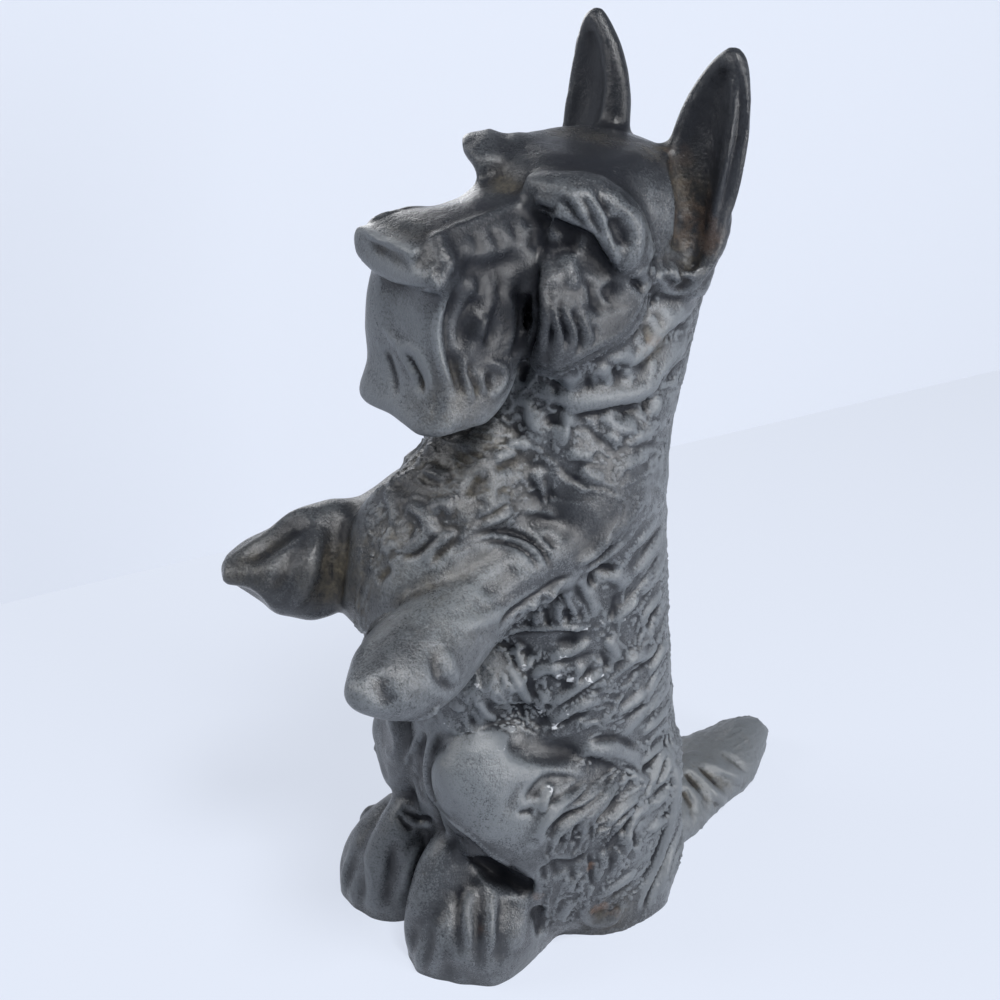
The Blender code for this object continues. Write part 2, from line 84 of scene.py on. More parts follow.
# Camera: stands in front and to the dog's left, and looks down a little
cameraSet = {
    "place": (0.380, -0.38844, 0.482),
    "azimuth": 48.2,
    "elevation": 28.5,
    "roll": 5.0,
    "lens": 54.0,
    "sensor": 36.0,
}


def cameraAxes():
    azimuth, elevation, roll = (math.radians(cameraSet[key]) for key in ("azimuth", "elevation", "roll"))
    back = Vector((math.sin(azimuth) * math.cos(elevation),
                   -math.cos(azimuth) * math.cos(elevation), math.sin(elevation)))
    across = Vector((0, 0, 1)).cross(back).normalized()
    upward = back.cross(across)
    right = across * math.cos(roll) + upward * math.sin(roll)
    top = upward * math.cos(roll) - across * math.sin(roll)
    return right, top, back


def makeCamera():
    right, top, back = cameraAxes()
    bpy.ops.object.camera_add(location=cameraSet["place"])
    camera = bpy.context.object
    camera.name = "camera"
    camera.data.lens = cameraSet["lens"]
    camera.data.sensor_width = cameraSet["sensor"]
    turn = Matrix((right, top, back)).transposed()
    camera.rotation_euler = turn.to_euler()
    bpy.context.scene.camera = camera


makeCamera()
report("camera placed")


# Skins: the outside of the casting, remeshed fine enough to carry the relief
skinSet = {
    "voxel": 1.15 * mm,       # edge length of the relief mesh
    "smoothing": 10,          # passes that round off the facets
    "skirt": 6 * mm,          # how far the mass runs below the floor before it is cut flat
    "seam": 0.15 * mm,        # the halves' distance from the middle in the frame
    "flush": 0.02 * mm,       # and here, where paint fills the seam
    "near": 0.01 * mm,        # what lies this near a plane is on it
    "weld": 0.005 * mm,       # and points this near one another are one
}


def bareShells():
    # The left half without its seam face and floor rim falls apart into an outside and an inside
    bm = bmesh.new()
    bm.from_mesh(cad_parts["left_half"].data)
    bmesh.ops.remove_doubles(bm, verts=bm.verts, dist=skinSet["weld"])
    seam, near = skinSet["seam"], skinSet["near"]
    flat = []
    for face in bm.faces:
        onSeam = all(abs(v.co.x - seam) < near for v in face.verts)
        onFloor = all(v.co.z < near for v in face.verts)
        if onSeam or onFloor:
            flat.append(face)
    bmesh.ops.delete(bm, geom=flat, context="FACES")
    shells = []
    left = dict.fromkeys(bm.faces)        # keeps its order, so that each run gives the same
    while left:
        seed = left.popitem()[0]
        group = [seed]
        stack = [seed]
        while stack:
            for edge in stack.pop().edges:
                for face in edge.link_faces:
                    if face in left:
                        del left[face]
                        group.append(face)
                        stack.append(face)
        shells.append(group)
    shells.sort(key=lambda group: -sum(face.calc_area() for face in group))
    for shell in shells:
        print("   shell", len(shell), "faces, area mm2", round(sum(f.calc_area() for f in shell) * 1e6))
    return bm, shells


def closedMass(name, bm, shell):
    # One shell and its mirror image, joined in the middle and run below the floor
    mass = bmesh.new()
    seam, near = skinSet["seam"], skinSet["near"]
    for sign in (1, -1):
        copies = {}
        for face in shell:
            corners = []
            for v in face.verts:
                if v not in copies:
                    x = 0.0 if abs(v.co.x - seam) < near else v.co.x
                    copies[v] = mass.verts.new((sign * x, v.co.y, v.co.z))
                corners.append(copies[v])
            mass.faces.new(corners if sign > 0 else list(reversed(corners)))
    bmesh.ops.remove_doubles(mass, verts=mass.verts, dist=skinSet["weld"])
    rim = [edge for edge in mass.edges if edge.is_boundary]
    grown = bmesh.ops.extrude_edge_only(mass, edges=rim)["geom"]
    for item in grown:
        if isinstance(item, bmesh.types.BMVert):
            item.co.z -= skinSet["skirt"]
    bottom = [edge for edge in mass.edges if edge.is_boundary]
    bmesh.ops.holes_fill(mass, edges=bottom, sides=0)
    bmesh.ops.triangulate(mass, faces=[face for face in mass.faces if len(face.verts) > 4])
    bmesh.ops.recalc_face_normals(mass, faces=mass.faces)
    loose = sum(1 for edge in mass.edges if not edge.is_manifold)
    print("  ", name, "open edges", loose)
    return newPiece(name, mass)


shellMesh, shells = bareShells()
figure = closedMass("figure", shellMesh, shells[0])
hollow = closedMass("hollow", shellMesh, shells[1])
shellMesh.free()
applied(figure, "REMESH", mode="VOXEL", voxel_size=skinSet["voxel"])
applied(figure, "SMOOTH", factor=0.5, iterations=skinSet["smoothing"])
report("skin of %d points" % len(figure.data.vertices))


def skinArrays(piece):
    count = len(piece.data.vertices)
    points = np.empty(count * 3)
    normals = np.empty(count * 3)
    piece.data.vertices.foreach_get("co", points)
    piece.data.vertices.foreach_get("normal", normals)
    return points.reshape(-1, 3), normals.reshape(-1, 3)


# Relief: fur and folds are strokes, drawn from the camera's place and cast onto the skin
reliefSet = {
    "pixels": 1000,           # the frame that the strokes are drawn in
    "pathStep": 2.0,          # pixels between the points of a smoothed stroke
    "gap": 5 * mm,            # a longer jump in depth breaks a stroke
    "taper": 0.30,            # share of a stroke that swells or fades at each end
    "grip": 0.4,              # a stroke fades out where its cosine with the skin is less than this
    "reach": 3.0,             # a stroke fades out at this many widths
    "lipReach": 2.6,          # and a lip's raised side at this many
    "steep": 0.6,             # a leaning lock reaches this share of its width down
    "gentle": 1.7,            # and this share up
    "lift": 0.6 * mm,         # start of a sight line above the skin
    "sink": 3.4 * mm,         # deepest that the relief goes into the wall
    "leastSink": 0.2 * mm,    # and what it may take even where the wall is thin
    "rise": 4.0 * mm,         # and highest that it stands proud
    "thinShare": 0.22,        # share of a thin solid part's thickness that the relief may take from a side
    "skinLeft": 1.4 * mm,     # iron left over the hollow
    "under": 1.25,            # a mass moves the hollow under it this much wider than the skin
    "boost": 1.35,            # all drawn heights are multiplied by this
    "furrow": 0.62,           # and those of the fur's grooves by this too
    "deep": 2.3,              # except grooves of this height in mm and over
    "proud": 1.05,            # and those of the fur's ridges by this
    "room": 0.8 * mm,         # drawn relief of this height leaves the fine fur little room
    "combLeast": 0.15,        # share of the combed fur that shows there all the same
    "strandLeast": 0.35,      # and of the strands
    "mould": ((16 * mm, 0.22 * mm), (6 * mm, 0.10 * mm)),   # size and depth of the sand mould's unevenness
    "crest": 2.3 * mm,        # crests flatten out towards this height
    "swell": 0.45,            # share of the evened relief that the masses under it take on
    "swellPasses": 12,
    "evening": 0.6,           # share that a point takes from its neighbours in each pass
    "evenPasses": 6,          # passes that blend the edges of what is seen, and of how deep the relief may go
    "normalPasses": 4,        # passes that even the directions in which the skin moves
    "seenFrom": 0.1,          # share of seen points around a point, from which it counts as seen
    "seenSpan": 0.5,          # and how much more of them makes it wholly seen
    "grazing": 0.05,          # least cosine at which the camera sees a point
}

# Each stroke: kind, width in mm, height in mm, and its points in the frame
headStrokes = (
    ("ridge", 2.2, 1.5, ((564, 194), (577, 201), (587, 222))),
    ("ridge", 1.8, 1.2, ((576, 190), (590, 196), (599, 212), (604, 224), (611, 239))),
    ("groove", 1.5, 1.2, ((570, 193), (583, 203), (594, 222), (604, 240))),
    ("groove", 1.3, 0.9, ((556, 196), (568, 204), (578, 220), (590, 234))),
    ("groove", 1.4, 0.9, ((590, 192), (603, 205), (611, 222))),
    ("ridge", 3.0, 2.0, ((604, 185), (620, 208), (634, 221), (637, 238), (634, 258), (625, 275))),
    ("groove", 3.2, 2.6, ((612, 213), (618, 228), (622, 240), (620, 250))),
    ("ridge", 1.6, 1.0, ((609, 222), (611, 236), (613, 252), (618, 266))),
    ("lip", 3.2, -2.4, ((530, 200), (541, 214), (562, 224), (589, 236), (600, 252), (609, 264), (621, 279))),
    ("groove", 1.7, 2.0, ((536, 217), (562, 230), (586, 241), (598, 258), (608, 270), (618, 281))),
    ("groove", 3.2, 3.0, ((548, 216), (545, 228), (543, 240), (541, 255))),
    ("groove", 1.8, 2.2, ((538, 255), (534, 285), (533, 320), (528, 352), (519, 385))),
    ("groove", 1.6, 0.9, ((560, 240), (569, 247), (574, 256))),
    ("ridge", 2.6, 1.2, ((560, 250), (570, 262), (574, 280), (572, 293))),
    ("ridge", 1.9, 1.9, ((541, 272), (546, 307), (544, 334), (539, 357))),
    ("ridge", 1.9, 2.1, ((548, 285), (552, 302), (556, 324), (559, 341), (555, 359), (548, 366), (542, 357))),
    ("ridge", 1.8, 1.8, ((559, 300), (567, 319), (572, 330), (567, 347), (559, 362))),
    ("ridge", 1.8, 1.4, ((579, 313), (584, 330), (590, 344))),
    ("groove", 1.3, 1.7, ((546, 280), (550, 307), (551, 334), (546, 350))),
    ("groove", 1.3, 1.8, ((556, 296), (561, 318), (565, 335), (560, 352))),
    ("groove", 1.3, 1.7, ((571, 306), (578, 324), (579, 340), (570, 356))),
    ("groove", 1.2, 1.2, ((590, 322), (592, 335), (586, 348))),
    ("groove", 2.6, 2.0, ((594, 276), (592, 290), (597, 304), (606, 309))),
    ("groove", 3.0, 1.5, ((606, 284), (609, 293), (604, 300))),
    ("ridge", 1.7, 1.3, ((590, 281), (588, 293), (592, 306))),
    ("lip", 3.6, 2.6, ((612, 276), (626, 283), (636, 293), (640, 301), (626, 324), (615, 335), (591, 349),
                       (576, 358), (560, 368), (547, 374))),
    ("ridge", 1.4, 0.9, ((607, 276), (626, 283), (637, 294), (640, 301), (626, 324), (615, 335), (591, 349),
                         (576, 358), (560, 368))),
    ("groove", 1.5, 1.4, ((628, 280), (636, 284), (643, 289))),
    ("ridge", 1.5, 1.1, ((651, 275), (646, 289), (640, 300))),
    ("ridge", 1.5, 1.0, ((630, 276), (642, 272), (656, 270))),
    ("groove", 3.4, 2.2, ((676, 216), (679, 236), (674, 254))),
    ("groove", 1.5, 1.2, ((664, 272), (669, 281), (674, 286))),
    ("groove", 1.5, 1.2, ((680, 268), (683, 278), (688, 284))),
    ("ridge", 1.6, 1.0, ((671, 268), (677, 275), (681, 283))),
    ("ridge", 1.8, 1.3, ((741, 182), (733, 212), (722, 239), (707, 268), (693, 285), (674, 290), (653, 286))),
)

muzzleStrokes = (
    ("ridge", 1.2, 1.2, ((355, 224), (364, 229), (375, 237), (388, 243), (402, 248), (413, 252))),
    ("groove", 3.0, 0.9, ((366, 240), (382, 252), (400, 262), (416, 272))),
    ("groove", 3.2, 3.2, ((410, 252), (421, 261), (434, 270), (446, 277))),
    ("lip", 2.6, -1.2, ((360, 262), (382, 278), (402, 287), (420, 287), (441, 282))),
    ("ridge", 2.6, 1.7, ((436, 230), (440, 246), (448, 262), (452, 276))),
    ("groove", 2.0, 0.7, ((474, 230), (479, 242), (482, 256))),
    ("groove", 2.0, 0.7, ((491, 226), (498, 238), (506, 250))),
    ("groove", 2.0, 0.6, ((510, 218), (517, 231), (522, 246))),
    ("groove", 3.6, 1.8, ((458, 262), (474, 268), (490, 270), (508, 262), (524, 252))),
    ("ridge", 1.8, 0.9, ((418, 250), (450, 232), (500, 212), (528, 201))),
    ("ridge", 1.7, 1.0, ((534, 197), (544, 203), (556, 206))),
    ("groove", 1.6, 1.0, ((536, 204), (548, 210), (558, 212))),
)

beardStrokes = (
    ("ridge", 1.8, 1.3, ((451, 284), (447, 300), (440, 322), (438, 338), (442, 360), (450, 386), (455, 402))),
    ("groove", 2.2, 2.2, ((456, 283), (452, 300), (447, 322), (448, 345), (455, 368), (460, 388),
                          (462, 401))),
    ("ridge", 1.7, 1.6, ((397, 347), (405, 356), (413, 370), (419, 385))),
    ("groove", 1.4, 1.6, ((403, 351), (412, 364), (419, 380), (423, 396))),
    ("ridge", 1.9, 0.8, ((378, 322), (390, 336), (402, 346), (417, 352), (427, 372), (432, 396))),
    ("groove", 2.2, 0.7, ((384, 345), (393, 372), (397, 398))),
    ("ridge", 2.4, 2.0, ((485, 312), (481, 325), (476, 340))),
    ("groove", 2.2, 1.7, ((490, 300), (474, 304), (465, 319), (464, 338), (470, 352))),
    ("groove", 1.9, 1.4, ((491, 318), (492, 334), (484, 348))),
    ("groove", 1.4, 1.0, ((476, 318), (472, 330), (471, 343))),
    ("ridge", 1.5, 1.0, ((464, 354), (463, 370), (470, 388), (474, 402))),
    ("groove", 1.3, 1.0, ((472, 356), (470, 372), (476, 388), (479, 402))),
    ("ridge", 1.4, 1.2, ((484, 368), (491, 363), (503, 369), (504, 380), (496, 392), (487, 398))),
    ("ridge", 1.3, 0.9, ((484, 368), (482, 380), (486, 396))),
    ("groove", 1.3, 1.2, ((490, 370), (489, 381), (491, 392))),
    ("ridge", 1.6, 0.8, ((505, 290), (512, 312), (512, 335), (503, 358))),
    ("groove", 1.6, 0.9, ((516, 285), (521, 312), (519, 336), (510, 362))),
    ("ridge", 1.6, 0.7, ((470, 276), (472, 286), (468, 296))),
    ("groove", 1.4, 0.7, ((480, 276), (482, 286), (478, 296))),
    ("groove", 1.5, 0.8, ((500, 270), (502, 284), (498, 296))),
)

ruffStrokes = (
    ("lip", 3.4, 2.2, ((699, 300), (685, 316), (668, 326), (655, 340), (646, 351), (632, 361), (621, 359),
                       (598, 359))),
    ("ridge", 1.3, 0.9, ((685, 317), (668, 327), (646, 352), (632, 361), (621, 359), (598, 360))),
    ("lip", 3.2, 1.9, ((688, 338), (682, 349), (661, 375), (649, 389), (624, 397), (605, 399), (579, 404),
                       (536, 397))),
    ("ridge", 1.3, 0.9, ((661, 375), (649, 389), (624, 397), (605, 399), (579, 404))),
    ("lip", 2.8, 1.6, ((666, 392), (640, 399), (613, 405), (598, 408), (572, 411), (556, 401), (529, 400))),
    ("groove", 1.7, 1.4, ((574, 414), (596, 413), (613, 409), (632, 408))),
    ("groove", 2.0, 1.6, ((640, 297), (648, 300), (656, 300))),
    ("ridge", 1.8, 1.2, ((645, 315), (651, 326), (654, 340))),
    ("ridge", 1.7, 1.2, ((660, 305), (664, 318), (672, 326))),
    ("groove", 1.5, 1.2, ((652, 308), (657, 322), (661, 331))),
    ("ridge", 1.7, 1.1, ((630, 338), (636, 346), (637, 356))),
    ("groove", 1.5, 1.1, ((641, 322), (643, 335), (644, 346))),
    ("ridge", 1.8, 1.1, ((596, 368), (604, 376), (603, 390))),
    ("ridge", 1.9, 1.1, ((622, 366), (627, 377), (624, 391))),
    ("groove", 1.7, 1.2, ((612, 364), (614, 378), (611, 392))),
    ("groove", 1.7, 1.2, ((586, 366), (588, 380), (584, 396))),
    ("ridge", 1.8, 1.2, ((566, 376), (570, 388), (566, 400))),
    ("groove", 1.6, 1.1, ((554, 378), (556, 390), (552, 398))),
    ("ridge", 1.7, 1.0, ((652, 356), (650, 370), (644, 384))),
    ("ridge", 1.9, 1.6, ((534, 398), (529, 404), (528, 417), (533, 427), (543, 431))),
    ("groove", 2.0, 1.9, ((548, 413), (551, 420), (554, 428))),
    ("ridge", 2.0, 1.6, ((563, 406), (566, 421), (565, 435), (560, 449))),
    ("ridge", 2.3, 1.5, ((598, 414), (610, 424), (622, 430), (639, 428))),
    ("groove", 1.6, 1.3, ((580, 424), (592, 432), (604, 446))),
    ("ridge", 1.8, 1.2, ((603, 433), (612, 439), (621, 446))),
    ("groove", 1.8, 1.6, ((644, 394), (645, 404), (647, 415))),
    ("ridge", 1.8, 1.2, ((661, 395), (658, 406), (654, 418))),
    ("ridge", 1.6, 1.2, ((505, 446), (517, 446), (530, 449))),
    ("ridge", 1.6, 1.2, ((492, 462), (505, 458), (518, 452))),
    ("groove", 1.8, 2.0, ((518, 457), (508, 463), (500, 468), (497, 475))),
    ("groove", 2.0, 2.4, ((483, 474), (476, 483), (471, 492), (469, 500))),
    ("ridge", 1.7, 1.2, ((565, 458), (580, 457), (595, 460))),
    ("groove", 1.7, 1.4, ((543, 470), (545, 482), (549, 492), (559, 498))),
    ("ridge", 1.7, 1.2, ((530, 470), (538, 481), (546, 498))),
    ("ridge", 2.6, 1.5, ((484, 484), (492, 488), (490, 500), (484, 508))),
    ("ridge", 1.7, 1.3, ((474, 518), (492, 508), (505, 500), (512, 494))),
    ("ridge", 1.7, 1.3, ((479, 527), (492, 522), (504, 517), (516, 508))),
    ("groove", 1.5, 1.3, ((477, 523), (492, 515), (508, 504))),
    ("ridge", 1.8, 1.0, ((576, 470), (592, 478), (606, 482))),
    ("groove", 1.8, 1.0, ((556, 462), (566, 472), (584, 481))),
    ("ridge", 1.8, 1.0, ((520, 512), (540, 511), (560, 516))),
    ("ridge", 1.9, 0.9, ((620, 470), (636, 462), (650, 458))),
    ("ridge", 1.9, 1.0, ((634, 442), (646, 436), (656, 430))),
    ("groove", 1.7, 1.0, ((630, 450), (644, 446), (660, 440))),
)

chestStrokes = (
    ("groove", 1.8, 2.2, ((430, 566), (436, 556), (448, 546), (463, 533))),
    ("ridge", 1.6, 1.6, ((426, 565), (433, 551), (444, 541), (457, 532))),
    ("groove", 1.8, 2.0, ((376, 583), (383, 574), (391, 565))),
    ("groove", 1.7, 1.9, ((399, 557), (413, 553), (428, 546), (438, 538), (444, 530))),
    ("ridge", 1.8, 1.5, ((398, 549), (411, 551), (420, 543), (426, 532), (422, 518), (410, 509), (401, 506))),
    ("ridge", 1.6, 1.3, ((432, 515), (439, 507), (446, 508), (449, 517))),
    ("groove", 1.5, 1.4, ((436, 520), (445, 528), (455, 527), (463, 536))),
    ("groove", 1.6, 1.3, ((404, 520), (411, 528), (408, 540))),
    ("ridge", 1.8, 1.1, ((420, 470), (436, 476), (446, 486))),
    ("groove", 1.8, 1.0, ((432, 455), (440, 464), (444, 472))),
    ("groove", 1.9, 1.2, ((392, 482), (404, 488), (414, 500))),
    ("ridge", 1.8, 1.0, ((385, 495), (392, 510), (390, 528))),
    ("groove", 1.6, 1.0, ((396, 500), (400, 512), (396, 526))),
    ("ridge", 1.6, 1.1, ((384, 556), (390, 548), (392, 538))),
    ("ridge", 2.0, 0.9, ((448, 442), (468, 448), (488, 452))),
)

armStrokes = (
    ("groove", 1.3, 1.9, ((466, 539), (483, 534), (504, 532), (522, 535), (537, 543), (546, 554), (552, 567),
                          (554, 578))),
    ("ridge", 1.1, 0.9, ((470, 540), (492, 536), (515, 540), (529, 547), (539, 557), (546, 570))),
    ("groove", 1.2, 1.0, ((474, 544), (494, 540), (513, 544), (526, 551), (535, 561), (542, 574))),
    ("groove", 1.5, 1.2, ((540, 534), (550, 540), (557, 551))),
    ("lip", 3.4, -1.8, ((576, 572), (552, 589), (526, 605), (509, 617), (497, 627))),
    ("groove", 1.6, 2.2, ((577, 572), (552, 589), (526, 606), (509, 618), (496, 629))),
    ("ridge", 2.6, 0.8, ((555, 582), (530, 598), (500, 614), (478, 622), (450, 626))),
    ("groove", 3.4, 0.8, ((480, 596), (504, 578), (522, 566))),
    ("groove", 3.0, 1.0, ((376, 674), (382, 690), (392, 708))),
    ("groove", 2.2, 1.0, ((440, 642), (435, 662), (441, 680), (456, 690))),
    ("ridge", 2.4, 0.7, ((452, 650), (450, 666), (458, 682))),
    ("ridge", 2.2, 1.3, ((222, 563), (237, 555), (264, 538), (290, 517), (315, 503))),
    ("groove", 3.4, 1.7, ((240, 564), (266, 550), (290, 532), (312, 516))),
    ("ridge", 2.8, 1.5, ((318, 524), (314, 556), (305, 586), (290, 610))),
    ("groove", 4.2, 2.2, ((336, 508), (337, 545), (331, 582), (318, 614))),
    ("groove", 2.6, 1.0, ((292, 546), (284, 572), (272, 596))),
)

flankStrokes = (
    ("lip", 2.6, -1.7, ((500, 640), (509, 636), (523, 632), (542, 632), (561, 631), (580, 632), (596, 625))),
    ("ridge", 1.2, 1.0, ((502, 638), (523, 631), (542, 631), (561, 630), (580, 631), (594, 625))),
    ("ridge", 1.6, 1.4, ((531, 604), (534, 612), (536, 624))),
    ("groove", 1.5, 1.7, ((544, 597), (546, 614), (550, 630))),
    ("ridge", 1.7, 1.6, ((551, 595), (557, 606), (557, 622))),
    ("groove", 1.5, 1.6, ((563, 606), (566, 616), (574, 619))),
    ("ridge", 1.6, 1.6, ((564, 592), (570, 604), (578, 618))),
    ("groove", 1.4, 1.4, ((569, 592), (575, 606), (582, 616))),
    ("ridge", 2.0, 1.8, ((578, 579), (586, 594), (591, 606), (594, 622))),
    ("groove", 1.5, 1.4, ((518, 616), (524, 622), (534, 626))),
    ("groove", 2.0, 2.4, ((590, 591), (591, 578), (599, 571), (610, 570), (618, 573))),
    ("ridge", 2.6, 1.8, ((606, 582), (612, 578), (620, 582), (622, 592))),
    ("ridge", 1.7, 1.3, ((583, 573), (600, 562), (614, 551), (628, 540))),
    ("ridge", 1.6, 1.2, ((576, 566), (592, 558), (606, 545), (614, 532))),
    ("groove", 1.8, 1.3, ((584, 566), (596, 562), (610, 550), (622, 538))),
    ("groove", 2.4, 1.3, ((618, 590), (614, 606), (612, 622))),
    ("ridge", 1.6, 1.5, ((510, 637), (518, 646), (517, 657), (523, 668), (530, 663), (535, 652))),
    ("groove", 1.6, 1.5, ((512, 638), (524, 646), (534, 658))),
    ("ridge", 1.5, 1.3, ((546, 663), (560, 656), (572, 654), (584, 647), (594, 640))),
    ("groove", 1.6, 1.3, ((552, 644), (566, 642), (582, 638))),
    ("groove", 1.7, 1.4, ((552, 662), (570, 662), (586, 656), (602, 650))),
    ("ridge", 1.6, 1.4, ((533, 681), (541, 673), (551, 671), (561, 679), (568, 681))),
    ("ridge", 1.7, 1.5, ((548, 708), (555, 704), (572, 693), (588, 682), (599, 676), (607, 671))),
    ("groove", 1.7, 1.5, ((556, 696), (572, 684), (586, 674), (600, 664))),
    ("ridge", 1.7, 1.6, ((548, 730), (556, 722), (572, 711), (588, 704), (604, 700))),
    ("groove", 1.7, 1.5, ((560, 728), (576, 718), (592, 712))),
    ("groove", 1.5, 1.4, ((526, 665), (529, 677), (532, 693), (541, 707))),
    ("ridge", 1.6, 1.4, ((534, 694), (540, 706), (542, 698), (538, 688))),
    ("ridge", 1.6, 1.1, ((505, 660), (512, 676), (522, 694), (532, 708))),
    ("groove", 2.4, 2.0, ((481, 683), (485, 699), (493, 711), (504, 722))),
    ("groove", 1.6, 1.3, ((560, 668), (562, 680), (566, 690))),
    ("ridge", 1.6, 1.2, ((576, 664), (578, 676), (574, 688))),
    ("ridge", 1.8, 1.3, ((604, 640), (612, 650), (616, 664))),
    ("groove", 1.7, 1.3, ((598, 648), (606, 660), (608, 672))),
    ("ridge", 1.7, 1.3, ((620, 626), (620, 617), (631, 608), (640, 596))),
    ("ridge", 1.7, 1.3, ((642, 631), (646, 615), (654, 603), (662, 592))),
    ("groove", 1.6, 1.3, ((648, 632), (652, 618), (662, 604))),
    ("ridge", 1.7, 1.3, ((619, 673), (634, 661), (649, 655), (660, 640))),
    ("groove", 1.7, 1.3, ((624, 682), (638, 670), (650, 664))),
    ("ridge", 1.6, 1.2, ((650, 679), (658, 660), (667, 644))),
    ("ridge", 1.6, 1.2, ((644, 707), (655, 683), (667, 663))),
    ("groove", 1.5, 1.2, ((640, 700), (650, 682), (660, 664))),
    ("ridge", 1.6, 1.2, ((650, 713), (662, 696), (669, 686))),
    ("ridge", 1.6, 1.2, ((612, 719), (631, 706), (641, 698), (650, 686))),
    ("groove", 1.6, 1.2, ((620, 722), (636, 711), (648, 700))),
    ("ridge", 1.6, 1.2, ((640, 738), (654, 725), (667, 711))),
    ("ridge", 1.6, 1.0, ((628, 580), (642, 566), (656, 548), (664, 532))),
    ("ridge", 1.6, 1.0, ((640, 598), (652, 582), (663, 564))),
    ("groove", 1.6, 1.1, ((634, 590), (648, 574), (661, 552))),
    ("groove", 1.7, 1.1, ((639, 557), (655, 537), (664, 522))),
    ("ridge", 1.6, 0.9, ((632, 552), (648, 534), (660, 514))),
    ("groove", 1.8, 1.0, ((594, 567), (606, 552), (614, 543))),
    ("ridge", 1.7, 1.3, ((440, 712), (450, 724), (461, 731), (469, 729), (478, 732), (493, 734), (509, 732))),
    ("lip", 3.0, 1.8, ((436, 706), (444, 718), (461, 732), (478, 733), (493, 735), (512, 733))),
    ("ridge", 1.5, 1.2, ((447, 700), (454, 707), (462, 712))),
    ("ridge", 1.5, 1.1, ((478, 700), (484, 712), (498, 722))),
    ("groove", 1.6, 1.2, ((462, 704), (470, 716), (474, 728))),
    ("groove", 4.2, 4.6, ((500, 742), (524, 748), (548, 753), (572, 748), (594, 742))),
    ("groove", 2.6, 1.8, ((580, 745), (604, 738), (622, 740), (640, 752))),
)

